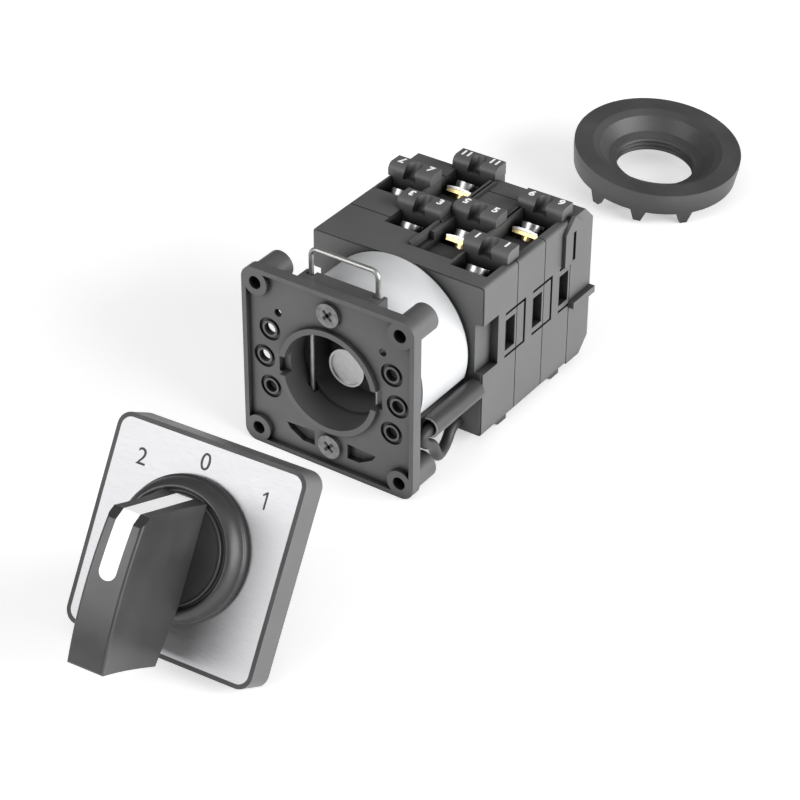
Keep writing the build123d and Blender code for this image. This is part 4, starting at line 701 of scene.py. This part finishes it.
def ridges(name, centre, axis, radius, height, pitch, count, finish):
    axis = axis.normalized()
    mesh = bmesh.new()
    half_ridge = axis * pitch * RIDGE_HALF_SHARE * MM
    for turn_number in range(count):
        base = centre + axis * (turn_number - (count - 1) / 2) * pitch * MM
        rows = []
        for spoke in circle_spokes(axis, RIDGE_STEPS):
            foot, tip = base + spoke * radius * MM, base + spoke * (radius + height) * MM
            rows.append([mesh.verts.new(point) for point in (foot - half_ridge, tip, foot + half_ridge)])
        for here, there in zip(rows, rows[1:] + rows[:1]):
            for corner in range(3):
                after = (corner + 1) % 3
                mesh.faces.new((here[corner], there[corner], there[after], here[after]))
    add_piece(name, mesh, finish)
    print(name, "ridges", count)


NUT_X, NUT_Y = -3.5, 144.5
NUT_LEAN_X, NUT_LEAN_Y = 0.127, -0.066
NUT_SKIRT, NUT_TOOTH, NUT_RADIUS = 5.8, 2.8, 20.6
NUT_THREAD_DOWN, BUSH_THREAD_BACK = 6.4, 7.2
nut_axis = Vector((NUT_LEAN_X, NUT_LEAN_Y, 1)).normalized()
nut_rise = (NUT_SKIRT + NUT_TOOTH) * nut_axis.z + NUT_RADIUS * (1 - nut_axis.z ** 2) ** 0.5
nut_top = Vector((NUT_X, NUT_Y, FLOOR_Z + nut_rise)) * MM
nut_middle = nut_top - nut_axis * NUT_THREAD_DOWN * MM
ridges("nut_thread", nut_middle, nut_axis, radius=9.93, height=-0.45, pitch=1.1, count=3,
       finish=nut_black)
bush_middle = face_centre - face_out * (FRAME_DEPTH + BUSH_THREAD_BACK) * MM
ridges("bush_thread", bush_middle, face_out, radius=9.78, height=0.18, pitch=0.8, count=4,
       finish=frame_black)

# %% [markdown]
# Each contact spring lies bowed between its bridge and the wall of its chamber. When the bridge comes
# outwards, the real spring bends flatter. A solid can't bend, so each spring here is a copy of its
# solid that stands for it, with a mesh of its own, hung on the housing.

# %% Copies of the contact springs
CONTACT_LEVELS = 6
for number in range(1, CONTACT_LEVELS + 1):
    side = 1 if number % 2 else -1
    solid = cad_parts[f"contact_spring_{number}"]
    spring = bpy.data.objects.new(f"flattening_spring_{number}", solid.data.copy())
    spring.matrix_world = solid.matrix_world
    hang(spring)
    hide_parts(f"contact_spring_{number}")
    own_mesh(spring)
print("springs that flatten", CONTACT_LEVELS)

# %% [markdown]
# The floor of a product picture is a pale sheet, lit until it is almost white and only soft shadows
# remain. Lighting it that strongly would wash out the black plastic, so the sheet gives off a little
# light of its own instead.

# %% Floor
FLOOR_HALF = 3.0
FLOOR_GAP = 0.02
FLOOR_GLOW = 0.44
floor_mesh = bpy.data.meshes.new("floor")
floor_mesh.from_pydata([(x * FLOOR_HALF, y * FLOOR_HALF, 0) for x, y in SQUARE], [], [(0, 1, 2, 3)])
floor = bpy.data.objects.new("floor", floor_mesh)
floor.location = (0, 0, (FLOOR_Z - FLOOR_GAP) * MM)
bpy.context.collection.objects.link(floor)
paper, nodes, links, shader, at = new_finish("floor_paper")
tone = noise(nodes, links, at, per_mm=0.004, detail=2.0)
links.new(ramp(nodes, links, tone, 0.90, 0.93), shader.inputs["Base Color"])
shader.inputs["Roughness"].default_value = 0.7
shader.inputs["Emission Color"].default_value = (1, 1, 1, 1)
shader.inputs["Emission Strength"].default_value = FLOOR_GLOW
floor_mesh.materials.append(paper)
print("floor at", round(floor.location.z / MM, 2), "mm")

# %% [markdown]
# Black plastic shows mostly what it reflects, so the size and side of the lights matter more than
# their power. A big soft light low on the right makes the right faces grey, a weak one overhead leaves
# the tops dark, one in front opens the plate and the knob, and a dim world fills the rest. Each row of
# the table gives a light's direction, its distance and its two sides in metres, and its power in watts.

# %% Lights
AIM_POINT = (0.0, 0.03, 0.0)
WORLD_LIGHT = 0.2
SOFTBOXES = {
    "right_softbox": ((1.0, 0.15, 0.27), 0.9, (1.0, 0.7), 13),
    "top_softbox": ((0.1, -0.35, 1.0), 1.1, (0.9, 0.9), 1.5),
    "front_fill": ((-0.4, -1.0, 0.5), 1.2, (0.8, 0.6), 7),
}
for name, (direction, distance, size, power) in SOFTBOXES.items():
    light = bpy.data.lights.new(name, "AREA")
    light.shape = "RECTANGLE"
    light.size, light.size_y = size
    light.energy = power
    lamp = bpy.data.objects.new(name, light)
    aim = Vector(direction).normalized()
    lamp.location = Vector(AIM_POINT) + aim * distance
    lamp.rotation_euler = aim.to_track_quat("Z", "Y").to_euler()
    bpy.context.collection.objects.link(lamp)
world = bpy.data.worlds.new("studio")
world.use_nodes = True
background = world.node_tree.nodes["Background"]
background.inputs["Color"].default_value = (1, 1, 1, 1)
background.inputs["Strength"].default_value = WORLD_LIGHT
bpy.context.scene.world = world
bpy.context.scene.view_settings.view_transform = "Standard"
print("lights", len(SOFTBOXES))
